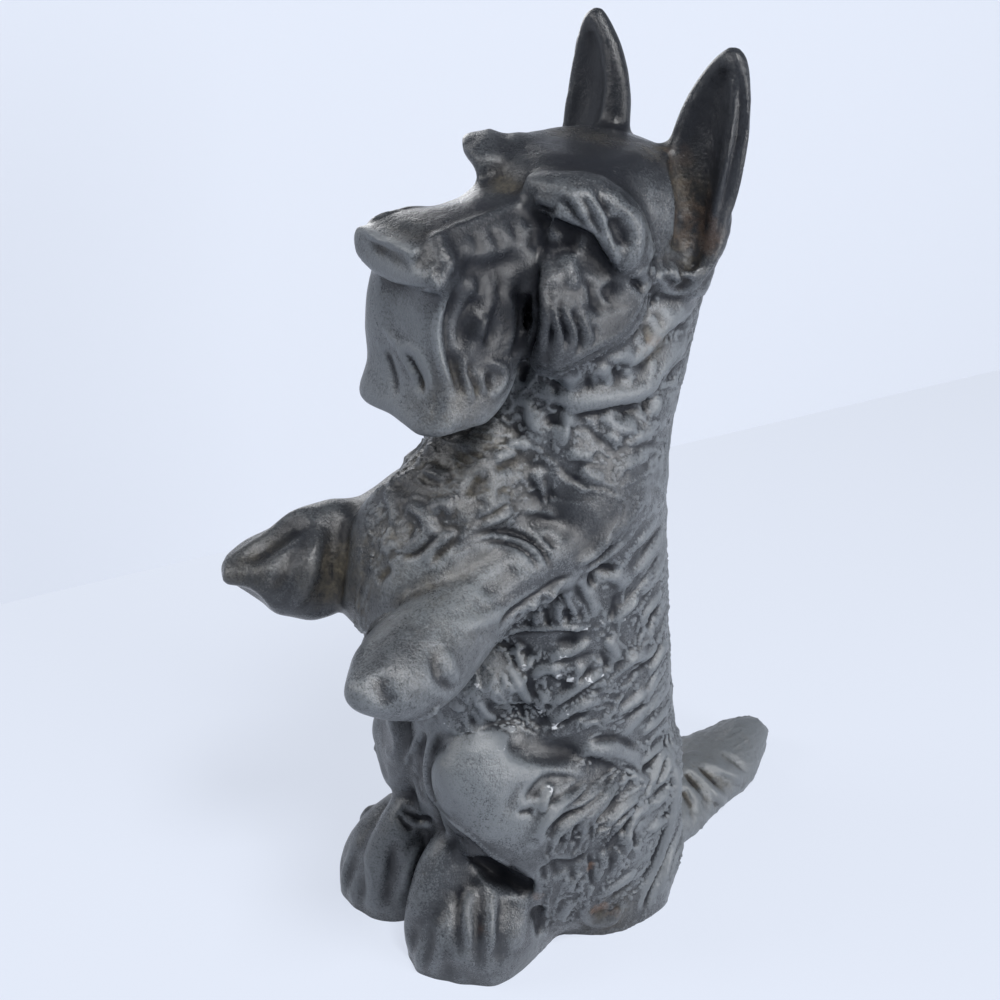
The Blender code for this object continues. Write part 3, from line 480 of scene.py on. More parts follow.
haunchStrokes = (
    ("ridge", 3.4, 1.6, ((572, 759), (590, 752), (613, 752), (632, 760), (646, 774))),
    ("lip", 2.8, -1.8, ((516, 813), (525, 807), (526, 796), (536, 783), (547, 775), (566, 774), (588, 780))),
    ("groove", 3.0, 2.2, ((530, 806), (536, 793), (548, 783), (562, 780))),
    ("ridge", 1.5, 2.0, ((556, 783), (552, 790), (547, 799), (542, 814))),
    ("groove", 1.6, 1.6, ((516, 814), (526, 813), (536, 811))),
    ("groove", 1.7, 1.7, ((546, 808), (559, 799), (578, 788), (588, 780))),
    ("ridge", 1.5, 1.3, ((543, 820), (549, 814), (564, 803), (578, 793), (590, 782))),
    ("groove", 1.5, 1.4, ((548, 822), (560, 812), (576, 801), (592, 788))),
    ("ridge", 1.6, 1.6, ((543, 848), (541, 835), (549, 821), (564, 810), (581, 802), (599, 789), (609, 777))),
    ("groove", 1.5, 1.5, ((550, 838), (556, 826), (570, 814), (588, 804))),
    ("ridge", 1.6, 1.7, ((556, 852), (556, 841), (564, 830), (578, 816), (592, 805), (606, 795), (620, 782))),
    ("groove", 1.4, 1.5, ((561, 850), (563, 838), (572, 826), (584, 814))),
    ("ridge", 1.5, 1.7, ((568, 843), (570, 831), (578, 820), (589, 812))),
    ("groove", 1.6, 1.8, ((574, 844), (574, 832), (581, 821))),
    ("ridge", 1.6, 1.8, ((581, 849), (582, 835), (584, 824), (592, 813), (603, 803), (615, 790), (623, 784))),
    ("ridge", 1.5, 1.6, ((592, 828), (594, 817), (601, 809), (612, 800))),
    ("groove", 1.8, 1.9, ((597, 826), (599, 817), (608, 808), (622, 795))),
    ("ridge", 1.5, 1.5, ((603, 829), (615, 819), (629, 805), (640, 799))),
    ("groove", 1.5, 1.5, ((608, 832), (621, 819), (632, 808))),
    ("ridge", 1.5, 1.6, ((615, 835), (619, 826), (629, 813), (636, 806))),
    ("groove", 1.6, 1.6, ((622, 836), (625, 826), (634, 815))),
    ("ridge", 1.6, 1.8, ((627, 857), (629, 838), (632, 824), (639, 814), (648, 811))),
    ("groove", 1.8, 1.8, ((635, 850), (636, 834), (643, 822), (652, 814))),
    ("ridge", 1.6, 1.4, ((647, 836), (660, 824), (669, 815))),
    ("lip", 2.8, -2.0, ((548, 858), (560, 861), (572, 861), (582, 856), (589, 850), (590, 838))),
    ("groove", 1.7, 1.8, ((543, 866), (545, 874), (544, 882))),
    ("groove", 1.9, 1.7, ((554, 864), (556, 872), (560, 878))),
    ("groove", 1.7, 1.4, ((572, 866), (574, 874), (572, 884))),
    ("groove", 1.5, 2.0, ((590, 846), (592, 860), (592, 874), (593, 890))),
    ("ridge", 1.7, 1.4, ((570, 893), (575, 880), (585, 872))),
    ("ridge", 1.7, 1.2, ((600, 850), (602, 866), (598, 882))),
    ("groove", 1.7, 1.2, ((609, 852), (612, 866), (607, 878))),
    ("ridge", 1.8, 1.4, ((596, 902), (606, 893), (627, 880), (640, 868))),
    ("groove", 1.8, 1.3, ((606, 900), (622, 891), (638, 880))),
    ("ridge", 1.9, 1.1, ((584, 902), (582, 914), (592, 924), (612, 922), (622, 908), (618, 900))),
    ("groove", 2.0, 1.2, ((588, 908), (598, 914), (610, 908))),
    ("ridge", 1.9, 1.0, ((561, 924), (567, 911), (578, 900))),
    ("groove", 2.0, 1.0, ((556, 914), (562, 904), (570, 898))),
    ("groove", 2.4, 2.4, ((541, 938), (540, 920), (537, 905))),
    ("ridge", 1.6, 1.8, ((641, 914), (648, 887), (660, 859), (669, 831), (676, 796), (673, 761), (667, 738))),
    ("groove", 1.9, 2.4, ((644, 914), (652, 890), (662, 866), (671, 842))),
    ("ridge", 1.5, 1.6, ((662, 896), (668, 866), (676, 838), (681, 813))),
    ("groove", 1.5, 1.5, ((669, 884), (674, 862), (680, 842))),
    ("ridge", 1.5, 1.3, ((652, 788), (657, 774), (662, 758), (668, 746))),
    ("ridge", 1.5, 1.3, ((660, 788), (667, 772), (670, 756))),
    ("groove", 1.5, 1.5, ((656, 786), (662, 772), (666, 756))),
    ("ridge", 1.5, 1.2, ((653, 808), (662, 799), (670, 791))),
    ("groove", 1.5, 1.2, ((652, 800), (660, 790), (668, 780))),
    ("ridge", 1.5, 1.3, ((639, 766), (653, 754), (664, 742))),
    ("groove", 1.6, 1.6, ((640, 771), (650, 764), (658, 752))),
)

footStrokes = (
    ("groove", 2.6, 1.2, ((462, 880), (459, 900), (458, 930), (462, 962))),
    ("groove", 3.2, 1.7, ((482, 890), (479, 912), (478, 940), (482, 972))),
    ("groove", 3.6, 1.5, ((508, 888), (504, 912), (500, 940), (502, 968))),
    ("ridge", 2.4, 1.4, ((472, 884), (468, 900), (468, 924), (470, 952))),
    ("ridge", 2.6, 1.7, ((494, 890), (492, 906), (491, 926), (493, 956))),
    ("ridge", 3.0, 1.0, ((524, 896), (522, 924), (514, 954))),
    ("groove", 2.8, 1.8, ((396, 836), (393, 856), (391, 878), (384, 912))),
    ("ridge", 2.2, 1.2, ((424, 838), (414, 852), (408, 872), (404, 894))),
    ("groove", 1.8, 1.6, ((399, 804), (408, 814), (420, 820), (434, 818))),
    ("ridge", 1.6, 1.1, ((404, 812), (416, 822), (430, 824))),
    ("groove", 1.5, 1.3, ((396, 812), (404, 824), (414, 832))),
    ("ridge", 1.8, 1.6, ((438, 724), (430, 745), (427, 770), (431, 792), (440, 808))),
    ("groove", 2.2, 2.0, ((428, 728), (420, 748), (417, 772), (420, 792), (430, 808))),
    ("ridge", 1.6, 1.2, ((425, 730), (413, 748), (405, 768))),
    ("groove", 1.6, 1.2, ((414, 772), (417, 790), (424, 804))),
    ("ridge", 1.3, 1.0, ((440, 812), (462, 830), (484, 849), (508, 864), (536, 884))),
    ("groove", 5.0, 4.6, ((446, 838), (470, 850), (496, 864), (520, 878), (538, 886))),
)

tailStrokes = (
    ("groove", 2.4, 1.8, ((680, 762), (688, 776), (700, 790), (712, 806))),
    ("groove", 2.8, 1.8, ((690, 762), (704, 772), (718, 782), (734, 794))),
    ("groove", 2.2, 0.9, ((716, 748), (726, 756), (736, 764), (746, 770))),
    ("ridge", 2.2, 1.6, ((684, 762), (696, 776), (710, 790), (724, 806))),
    ("ridge", 2.2, 0.9, ((700, 758), (716, 768), (732, 776), (744, 784))),
    ("groove", 2.4, 1.4, ((682, 782), (688, 800), (696, 822))),
    ("ridge", 2.0, 1.1, ((678, 770), (688, 790), (700, 812))),
)

earStrokes = (
    ("ridge", 1.5, 1.2, ((744, 62), (746, 90), (745, 130), (739, 170), (731, 205), (718, 240))),
    ("groove", 1.6, 1.3, ((738, 66), (740, 90), (739, 125), (733, 160), (726, 195), (714, 232))),
    ("ridge", 1.5, 0.9, ((733, 72), (735, 100), (733, 130), (727, 164), (718, 200))),
)


# Every group of strokes, whether it is fur, and whether the fine fur follows it
strokeGroups = (
    (headStrokes, False, True),
    (muzzleStrokes, False, False),
    (beardStrokes, False, True),
    (ruffStrokes, True, True),
    (chestStrokes, True, True),
    (armStrokes, False, False),
    (flankStrokes, True, True),
    (haunchStrokes, True, True),
    (footStrokes, False, True),
    (tailStrokes, True, True),
    (earStrokes, False, False),
)

# Masses that are moved before the fur: sides, then x, y, z of the left side, radius, and the move, all in mm
bothSides, nearSide, farSide = (1, -1), (1,), (-1,)
massDabs = (
    (bothSides, (30, -62, 319), 8, (-5.0, 4.0, 0.0)),         # eye hollow under the brow
    (bothSides, (27, -56, 313), 7, (-3.0, 3.0, 0.0)),
    (farSide, (23, -60, 324), 9, (-3.0, 6.0, 1.0)),           # and deeper under the far brow
    (farSide, (33, -56, 326), 8, (-4.5, 4.0, 3.0)),
    (farSide, (39, -48, 321), 11, (-9.0, 4.5, 0.0)),
    (farSide, (34, -52, 321), 8, (-4.0, 5.0, -0.5)),
    (farSide, (22, -54, 328), 8, (-1.5, 3.0, 0.0)),
    (farSide, (32, -56, 337), 7, (-1.2, 0.8, 2.5)),           # its horn
    (farSide, (18, -46, 343), 9, (0.0, 0.0, 2.5)),
    (farSide, (16, -76, 326), 13, (0.0, 1.5, -3.0)),          # far edge of the muzzle
    (farSide, (21, -106, 311), 9, (-0.6, 0.4, 0.0)),          # and of the nose
    (farSide, (24, -96, 288), 17, (1.8, -2.5, 0.0)),          # and of the beard
    (bothSides, (22, -108, 316), 5, (0.6, -0.6, 1.2)),        # corner of the nose
    (bothSides, (4, -98, 248), 14, (0.0, 0.0, 1.2)),          # underside of the beard
    (nearSide, (24, -92, 249), 11, (-1.0, 2.0, 3.5)),
    (farSide, (21, -83, 229), 13, (-5.0, 6.5, 0.0)),          # far side of the chest
    (farSide, (24, -89, 217), 9, (-3.0, 4.5, 0.0)),
    (farSide, (30, -92, 206), 7, (-1.0, 2.0, 3.5)),
    (farSide, (44, -105, 196), 13, (0.0, 0.0, 4.5)),          # far paw, drawn to a point
    (farSide, (49, -148, 180), 7, (0.0, 3.5, 1.5)),
    (farSide, (39, -141, 169), 10, (-1.0, 4.0, 5.0)),
    (farSide, (26, -112, 165), 11, (0.0, 0.0, -3.5)),
    (farSide, (30, -86, 95), 15, (-4.5, 6.0, 0.0)),           # far thigh
    (farSide, (33, -80, 72), 10, (-2.0, 2.0, 0.0)),
    (nearSide, (43, -90, 0), 15, (-3.5, 5.5, 0.0)),           # toes of the near foot
    (nearSide, (50, 38, 2), 13, (-2.5, -2.5, 0.0)),           # corner of the base
    (farSide, (14, 80, 24), 14, (0.0, -1.0, -6.0)),           # tail
    (farSide, (15, 108, 18), 24, (0.0, 0.0, -5.0)),
    (nearSide, (19, 117, 3), 14, (2.0, 2.0, 0.0)),
    (bothSides, (38, 47, 58), 18, (-2.4, -3.0, 0.0)),         # small of the back over it
)


def smoothPath(points):
    # a curve through the drawn points
    path = []
    ends = [points[0]] + list(points) + [points[-1]]
    for a, b, c, d in zip(ends, ends[1:], ends[2:], ends[3:]):
        count = max(2, round(math.dist(b, c) / reliefSet["pathStep"]))
        for i in range(count):
            t = i / count
            path.append(tuple(0.5 * (2 * q + (r - p) * t + (2 * p - 5 * q + 4 * r - s) * t * t
                                     + (3 * q - p - 3 * r + s) * t ** 3)
                              for p, q, r, s in zip(a, b, c, d)))
    path.append(points[-1])
    return path


def castPoint(tree, across, down):
    # what a point of the frame lands on
    right, top, back = cameraAxes()
    pixels = reliefSet["pixels"]
    focal = cameraSet["lens"] / cameraSet["sensor"] * pixels
    ray = right * (across - pixels / 2) / focal - top * (down - pixels / 2) / focal - back
    spot, normal, face, far = tree.ray_cast(Vector(cameraSet["place"]), ray.normalized())
    return spot, normal


def castRuns(tree, points):
    # the curve on the skin, in several runs where it passes over a step in depth
    runs = [[]]
    for across, down in smoothPath(points):
        spot, normal = castPoint(tree, across, down)
        if spot is None:
            runs.append([])
            continue
        if runs[-1] and (spot - runs[-1][-1][0]).length > reliefSet["gap"]:
            runs.append([])
        runs[-1].append((spot, normal))
    return [run for run in runs if len(run) >= 3]


def eased(value):
    value = np.clip(value, 0, 1)
    return value * value * (3 - 2 * value)


def strokeRelief(points, normals, run, kind, width, height, mirrored=False, leaning=False):
    # indices of the points that a stroke reaches, and how far it moves them
    spots = np.array([tuple(spot) for spot, normal in run])
    facing = np.array([tuple(normal) for spot, normal in run])
    if mirrored:
        spots = spots * (-1, 1, 1)
        facing = facing * (-1, 1, 1)
    tangents = np.gradient(spots, axis=0)
    tangents /= np.linalg.norm(tangents, axis=1)[:, None] + 1e-12
    along = np.concatenate(([0], np.cumsum(np.linalg.norm(np.diff(spots, axis=0), axis=1))))
    reach = width * (reliefSet["lipReach"] * 2 if kind == "lip" else reliefSet["reach"])
    near = np.all((points > spots.min(0) - reach) & (points < spots.max(0) + reach), axis=1)
    picked = np.nonzero(near)[0]
    if len(picked) == 0:
        return picked, np.zeros(0)
    apart = ((points[picked][:, None] - spots[None]) ** 2).sum(2)
    closest = apart.argmin(1)
    offset = points[picked] - spots[closest]
    tangent = tangents[closest]
    place = along[closest] + (offset * tangent).sum(1)
    sideways = offset - (offset * tangent).sum(1)[:, None] * tangent
    beyond = np.maximum(np.maximum(-place, place - along[-1]), 0)
    distance = np.sqrt((sideways ** 2).sum(1) + beyond ** 2)
    agrees = (normals[picked] * facing[closest]).sum(1)
    fade = max(reliefSet["taper"] * along[-1], 1e-6)
    swell = eased(place / fade) * eased((along[-1] - place) / fade) * eased(agrees / reliefSet["grip"])
    if kind == "lip":
        outward = np.cross(tangent, facing[closest])
        across = (sideways * outward).sum(1) * (-1 if mirrored else 1)
        step = eased(across / width + 0.5)
        effect = step * np.exp(-(distance / (width * reliefSet["lipReach"])) ** 2)
    elif leaning:
        # a lock of fur: steep on its lower side, and gently sloped above
        lower = np.cross(tangent, facing[closest])
        lower *= np.where(lower[:, 2] > 0, -1, 1)[:, None]
        across = (sideways * lower).sum(1)
        slope = np.where(across > 0, reliefSet["steep"], reliefSet["gentle"])
        effect = np.exp(-(distance / (width * slope)) ** 2)
    else:
        effect = np.exp(-(distance / width) ** 2)
    sign = -1 if kind == "groove" else 1
    return picked, sign * height * effect * swell


def depthAllowed(tree, hollow, points, normals):
    # how deep the relief may go: most of the wall over the hollow, and a share of a thin solid part
    inner = BVHTree.FromPolygons([tuple(v.co) for v in hollow.data.vertices],
                                 [tuple(p.vertices) for p in hollow.data.polygons])
    allowed = np.full(len(points), reliefSet["sink"])
    for index in range(len(points)):
        spot, inward = Vector(points[index]), Vector(-normals[index])
        through = tree.ray_cast(spot + inward * reliefSet["lift"], inward)[3]
        wall = inner.find_nearest(spot, 2 * reliefSet["sink"])[3]
        if through is not None:
            allowed[index] = min(allowed[index], through * reliefSet["thinShare"])
        if wall is not None:
            allowed[index] = min(allowed[index], wall - reliefSet["skinLeft"])
    return np.maximum(allowed, reliefSet["leastSink"])


def seenFromCamera(tree, points, normals):
    # 1 where the camera sees the point
    seen = np.zeros(len(points))
    spots = points + normals * reliefSet["lift"]
    toward = np.array(cameraSet["place"]) - spots
    toward /= np.linalg.norm(toward, axis=1)[:, None]
    facing = (toward * normals).sum(1)
    for index in np.nonzero(facing > reliefSet["grazing"])[0]:
        if tree.ray_cast(Vector(spots[index]), Vector(toward[index]))[0] is None:
            seen[index] = 1
    return seen


# Fine fur between the drawn locks: strands that run the way the nearest locks run
strandSet = {
    "seed": 7,
    "apart": 4.6 * mm,        # least distance between the roots of two strands
    # steps of 1 mm along a strand, width and height in mm, and share of roots that grow one
    "regions": {
        "haunch": ((14, 28), (0.9, 1.3), (0.30, 0.60), 0.3),
        "flank": ((8, 18), (1.4, 2.6), (0.25, 0.60), 0.3),
        "neck": ((8, 16), (1.8, 3.2), (0.25, 0.60), 0.2),
        "back": ((14, 26), (1.2, 2.0), (0.15, 0.40), 0.2),
    },
    "leastSteps": 4,          # a shorter strand is left out
    "off": 2 * mm,            # a strand ends where it would leave the skin by this
    "clearOfFloor": 3 * mm,   # no strand starts lower
    "nearest": 5,             # locks that give a strand its direction
    "comb": 5.0 * mm,         # width of the combed fur under the strands
    "combLength": 11 * mm,    # and half its length
    "combSteps": 4,           # samples each way along that length
    "crestWidth": 0.4,        # of its crests, in shares of the noise's spread
    "combSink": 0.3,          # how far it goes down between its crests, as a share of their height
    "combHeights": {"haunch": 1.05, "flank": 0.90, "neck": 0.75, "back": 0.50},
}

# Guides for the sides that the camera doesn't see: x, y, z along the left side, in mm
guideLines = (
    ((8, 30, 320), (12, 34, 290), (14, 28, 250), (12, 24, 215), (10, 30, 180)),
    ((28, 20, 300), (30, 22, 270), (32, 14, 240), (30, 12, 205), (32, 16, 180)),
    ((8, 36, 180), (16, 40, 150), (26, 42, 128)),
    ((4, 46, 150), (14, 50, 120), (26, 50, 96)),
    ((6, 52, 110), (20, 56, 84), (34, 50, 62)),
    ((6, 58, 80), (24, 58, 56), (38, 46, 36)),
    ((8, 60, 50), (28, 56, 30), (42, 40, 14)),
    ((4, 70, 26), (8, 95, 24), (8, 120, 24), (4, 145, 22)),
    ((24, 70, 14), (22, 95, 10), (18, 120, 8), (10, 140, 10)),
    ((10, -60, 230), (12, -72, 214), (10, -84, 196)),
    ((8, -60, 148), (12, -72, 136), (10, -70, 120)),
    ((8, -40, 250), (16, -44, 240), (20, -52, 226)),
    ((14, -96, 270), (18, -94, 262), (20, -90, 255)),
)


# Where the fur changes, in mm: z is the height, and y is less towards the nose
furSet = {
    "haunchTop": 112,
    "haunchFront": -48,
    "backFront": 24,
    "neckLow": 205,
    "headLow": 318,           # no fine fur higher
    "muzzle": (250, -62),     # nor higher than the first and further forward than the second
    "tailFront": 64,
    "armStart": -34,          # an arm lies further forward
    "armLow": 150,            # and higher
    "armLine": (215, 0.3, 33),  # its middle: height, rise of it with y, and x
    "wrist": -95,
    "armBare": 21,            # no fine fur within this of its middle
    "pawBare": 30,            # and past the wrist within this
    "kneeTop": 116,
    "kneeLine": (-52, 0.12, 60),  # front of the fur there: y, its slope, and the height where it is that
    "napeLow": 296,
    "rimTop": 14,
    "shoulder": (176, 224, -40),  # lowest, highest and foremost
    "shares": {"tail": 0.45, "nape": 0.35, "rim": 0.3, "shoulder": 0.4},
}


def furKind(x, y, z):
    # the region that a place's fur belongs to, from its distances in mm
    if z < furSet["haunchTop"] and y > furSet["haunchFront"]:
        return "haunch"
    if y > furSet["backFront"] and z > furSet["haunchTop"]:
        return "back"
    if z > furSet["neckLow"]:
        return "neck"
    return "flank"


def isBare(x, y, z):
    # the head, the arms and paws, and the knees carry drawn strokes alone
    over, front = furSet["muzzle"]
    if z > furSet["headLow"] or (z > over and y < front):
        return True
    if y > furSet["tailFront"]:
        return False
    if y < furSet["armStart"] and z > furSet["armLow"]:
        height, rise, side = furSet["armLine"]
        reach = furSet["armBare"] if y > furSet["wrist"] else furSet["pawBare"]
        if math.hypot(z - (height + rise * y), abs(x) - side) < reach:
            return True
    front, slope, level = furSet["kneeLine"]
    return z < furSet["kneeTop"] and y < front - slope * (z - level)


def furriness(x, y, z):
    # how much fine fur a place carries, from its distances in mm
    shares = furSet["shares"]
    low, high, front = furSet["shoulder"]
    if isBare(x, y, z):
        return 0.0
    if y > furSet["tailFront"]:
        return shares["tail"]
    if z > furSet["napeLow"]:
        return shares["nape"]
    if z < furSet["rimTop"]:
        return shares["rim"]
    if low < z < high and y > front:
        return shares["shoulder"]
    return 1.0


class FlowField:
    # which way the fur runs at a place, from the nearest locks
    def __init__(self, runs):
        self.spots = []
        self.ways = []
        for run in runs:
            for start, end in zip(run, run[2:]):
                way = end - start
                if way.length > 1e-6:
                    self.spots.append((start + end) / 2)
                    self.ways.append(way.normalized())
        self.tree = KDTree(len(self.spots))
        for index, spot in enumerate(self.spots):
            self.tree.insert(spot, index)
        self.tree.balance()

    def way(self, place):
        total = Vector((0, 0, 0))
        for spot, index, far in self.tree.find_n(place, strandSet["nearest"]):
            near = self.ways[index]
            if total.dot(near) < 0:
                near = -near
            total += near / (far + strandSet["off"]) ** 2
        return total.normalized()


def walkedStrand(flow, tree, root, steps):
    # a strand follows the flow over the skin
    run = []
    place = root
    heading = None
    for _ in range(steps):
        spot, normal, face, far = tree.find_nearest(place)
        if spot is None or far > strandSet["off"]:
            break
        way = flow.way(spot)
        if heading is not None and way.dot(heading) < 0:
            way = -way
        heading = way
        way = way - normal * way.dot(normal)
        if way.length < 1e-6:
            break
        run.append((spot, normal))
        place = spot + way.normalized() * mm
    return run


def combedFur(points, flow):
    # noise drawn out along the way that the fur runs, with a thin crest wherever it passes through nought
    steps = strandSet["combSteps"]
    values = np.zeros(len(points))
    heights = np.zeros(len(points))
    for index, point in enumerate(points):
        x, y, z = point / mm
        furry = furriness(x, y, z)
        if furry == 0:
            continue
        spot = Vector(point)
        stride = flow.way(spot) * (strandSet["combLength"] / steps)
        total = 0.0
        for step in range(-steps, steps + 1):
            total += noise.noise((spot + stride * step) / strandSet["comb"])
        values[index] = total
        heights[index] = furry * strandSet["combHeights"][furKind(x, y, z)]
    values /= values.std()
    return (np.exp(-(values / strandSet["crestWidth"]) ** 2) - strandSet["combSink"]) * heights * mm


def strandRuns(points, flow, tree, room):
    # roots spread evenly over the furry places
    chance = random.Random(strandSet["seed"])
    order = list(range(len(points)))
    chance.shuffle(order)
    cell = strandSet["apart"]
    taken = {}
    runs = []
    for index in order:
        x, y, z = points[index]
        if z < strandSet["clearOfFloor"]:
            continue
        key = (int(x // cell), int(y // cell), int(z // cell))
        around = itertools.product(*((number - 1, number, number + 1) for number in key))
        if any(math.dist(points[index], other) < cell for near in around for other in taken.get(near, ())):
            continue
        taken.setdefault(key, []).append(tuple(points[index]))
        steps, widths, heights, share = strandSet["regions"][furKind(x / mm, y / mm, z / mm)]
        if chance.random() > share * furriness(x / mm, y / mm, z / mm) * room[index]:
            continue
        run = walkedStrand(flow, tree, Vector(points[index]), chance.randint(*steps))
        if len(run) > strandSet["leastSteps"]:
            runs.append((run, chance.uniform(*widths), chance.uniform(*heights)))
    return runs


# Stains: each spot is across and down in the frame, radius in mm, and share
# The paint's dull grey film, thick on the haunch and back and thin on the head, together with painted sheen
# where light falls, as on the thigh, forearm, lower back and tail, and painted shade in the pocket under the
# near knee
filmSheenAndShadeSpots = (
    (505, 800, 16, 1.15), (470, 775, 14, 1.0), (440, 760, 12, 0.5), (600, 820, 22, 0.32), (655, 790, 14, 1.8),
    (650, 860, 14, 1.6), (662, 690, 16, 1.0), (662, 590, 16, 0.95), (664, 500, 16, 1.0), (668, 440, 16, 0.95),
    (680, 380, 14, 0.75), (715, 760, 26, 1.9), (600, 610, 24, 0.5), (590, 680, 22, 0.5), (510, 690, 14, 0.85),
    (600, 440, 20, 0.55), (600, 500, 20, 0.1), (430, 470, 14, 0.1), (450, 510, 12, 0.2), (445, 598, 10, 0.9),
    (480, 580, 8, 0.7), (510, 565, 12, 0.35), (420, 665, 14, 0.35), (270, 565, 26, 0.1), (310, 545, 12, 0.1),
    (390, 268, 10, 1.5), (400, 330, 13, 1.35), (400, 380, 10, 1.2), (478, 345, 13, 0.0), (490, 300, 12, 0.0),
    (470, 390, 9, 0.2), (500, 245, 12, 0.05), (430, 225, 16, 0.0), (600, 310, 14, 0.1), (545, 320, 10, 0.05),
    (655, 215, 10, 0.7), (600, 165, 20, 0.0), (500, 150, 14, 0.1), (590, 215, 10, 0.4), (625, 245, 8, 0.35),
    (720, 130, 30, 0.0), (700, 200, 14, 0.0), (595, 80, 30, 0.0), (440, 900, 22, 0.25), (505, 930, 12, 0.3),
    (370, 860, 22, 0.45), (610, 920, 16, 0.2), (400, 750, 12, 0.3), (460, 425, 12, 0.4), (540, 350, 8, 0.1),
    (480, 940, 12, 0.3), (495, 860, 10, 0.0), (470, 850, 8, 0.0), (548, 750, 9, 0.0),
)

# Rust, and brown dust
rustSpots = (
    (600, 908, 3.5, 0.55), (592, 868, 1.8, 0.6), (612, 912, 3, 0.35), (538, 897, 2.4, 0.4),
    (484, 930, 3, 0.2),
    (691, 205, 9, 0.22), (700, 235, 7, 0.3), (672, 160, 7, 0.2), (650, 345, 4, 0.3), (740, 740, 14, 0.15),
)
dustSpots = (
    (560, 131, 6, 0.8), (648, 148, 6, 0.9), (600, 138, 6, 0.6), (505, 186, 5, 0.8), (682, 190, 7, 0.6),
    (450, 425, 12, 0.8), (425, 450, 12, 0.6), (654, 343, 5, 1.0), (450, 600, 14, 0.5), (385, 560, 12, 0.6),
    (232, 562, 12, 0.7), (345, 590, 12, 0.9), (700, 770, 26, 0.4), (480, 480, 12, 0.6), (610, 918, 10, 0.5),
    (690, 250, 8, 0.5), (400, 235, 10, 0.3), (355, 560, 8, 0.9), (470, 445, 10, 0.6),
)

# Bright metal where the paint is off the crests
wearSpots = (
    (585, 632, 1.8, 1.3), (601, 624, 1.8, 0.9), (625, 620, 1.4, 0.8), (563, 657, 1.8, 1.0),
    (558, 675, 1.6, 1.0), (570, 681, 2.4, 1.0), (588, 679, 2.2, 0.9), (603, 675, 1.6, 0.9),
    (535, 681, 1.5, 1.0), (521, 668, 1.4, 0.9), (526, 664, 1.3, 0.9), (537, 706, 1.5, 1.0),
    (541, 712, 1.5, 1.0), (552, 727, 2.0, 1.0), (558, 723, 1.6, 1.0), (477, 685, 1.3, 1.0),
    (626, 693, 1.4, 0.8), (647, 642, 1.2, 0.7), (448, 722, 2.2, 0.8), (470, 730, 3.0, 0.8),
    (492, 733, 3.0, 0.7), (512, 728, 2.4, 0.8), (568, 711, 2.0, 0.8), (583, 705, 2.0, 0.7),
    (505, 748, 1.8, 0.8), (530, 758, 2.6, 0.6), (572, 749, 2.2, 0.6), (552, 790, 2.2, 0.9),
    (545, 805, 2.0, 0.7), (600, 455, 3.0, 0.5), (518, 447, 2.6, 0.6), (468, 896, 1.8, 0.6),
    (493, 913, 1.8, 0.6), (399, 839, 1.6, 0.6),
)


# For each value: its spots, its amount away from them, and how firmly that holds against them
spotSet = {
    "film_sheen_and_shade": (filmSheenAndShadeSpots, 0.65, 0.05),
    "wear": (wearSpots, 0.0, 0.4),
    "rust": (rustSpots, 0.0, 0.35),
    "dust": (dustSpots, 0.03, 0.35),
}


def spotValues(tree, points, unseen, spots, rest, blend):
    # spots spread over the skin and into one another, on the unseen side as in a mirror
    total = np.full(len(points), blend * rest)
    weight = np.full(len(points), blend)
    flipped = points * (-1, 1, 1)
    for across, down, radius, share in spots:
        spot, normal = castPoint(tree, across, down)
        if spot is None:
            continue
        spot = np.array(tuple(spot))
        here = np.exp(-((points - spot) ** 2).sum(1) / (radius * mm) ** 2)
        there = np.exp(-((flipped - spot) ** 2).sum(1) / (radius * mm) ** 2) * unseen
        near = np.maximum(here, there)
        total += near * share
        weight += near
    return total / weight


def setPoints(piece, points):
    piece.data.vertices.foreach_set("co", points.ravel())
    piece.data.update()


def moveMasses(piece, spread):
    # masses are pushed in or drawn out, each over its radius times the spread
    points, normals = skinArrays(piece)
    for sides, middle, radius, move in massDabs:
        for side in sides:
            flip = np.array((side, 1, 1))
            away = points - flip * middle * mm
            near = np.exp(-((away ** 2).sum(1) / (radius * mm * spread) ** 2) ** 1.5)
            points += near[:, None] * flip * move * mm
    setPoints(piece, points)


class Skin:
    # the figure's points with their neighbours, and the directions in which they move
    def __init__(self, piece):
        self.points, facing = skinArrays(piece)
        edges = np.empty(len(piece.data.edges) * 2, dtype=np.int64)
        piece.data.edges.foreach_get("vertices", edges)
        self.edges = edges.reshape(-1, 2)
        self.counts = np.bincount(edges, minlength=len(self.points)).astype(float)
        self.normals = self.evened(facing, reliefSet["normalPasses"])
        self.normals /= np.linalg.norm(self.normals, axis=1)[:, None]
        self.tree = BVHTree.FromPolygons([tuple(p) for p in self.points],
                                         [tuple(p.vertices) for p in piece.data.polygons])
        seen = self.evened(seenFromCamera(self.tree, self.points, self.normals), reliefSet["evenPasses"])
        self.unseen = 1 - eased((seen - reliefSet["seenFrom"]) / reliefSet["seenSpan"])

    def evened(self, values, passes):
        # a value evened out over the mesh
        values = values.copy()
        for _ in range(passes):
            total = np.zeros_like(values)
            np.add.at(total, self.edges[:, 0], values[self.edges[:, 1]])
            np.add.at(total, self.edges[:, 1], values[self.edges[:, 0]])
            counts = self.counts if values.ndim == 1 else self.counts[:, None]
            share = reliefSet["evening"]
            values = (1 - share) * values + share * total / counts
        return values


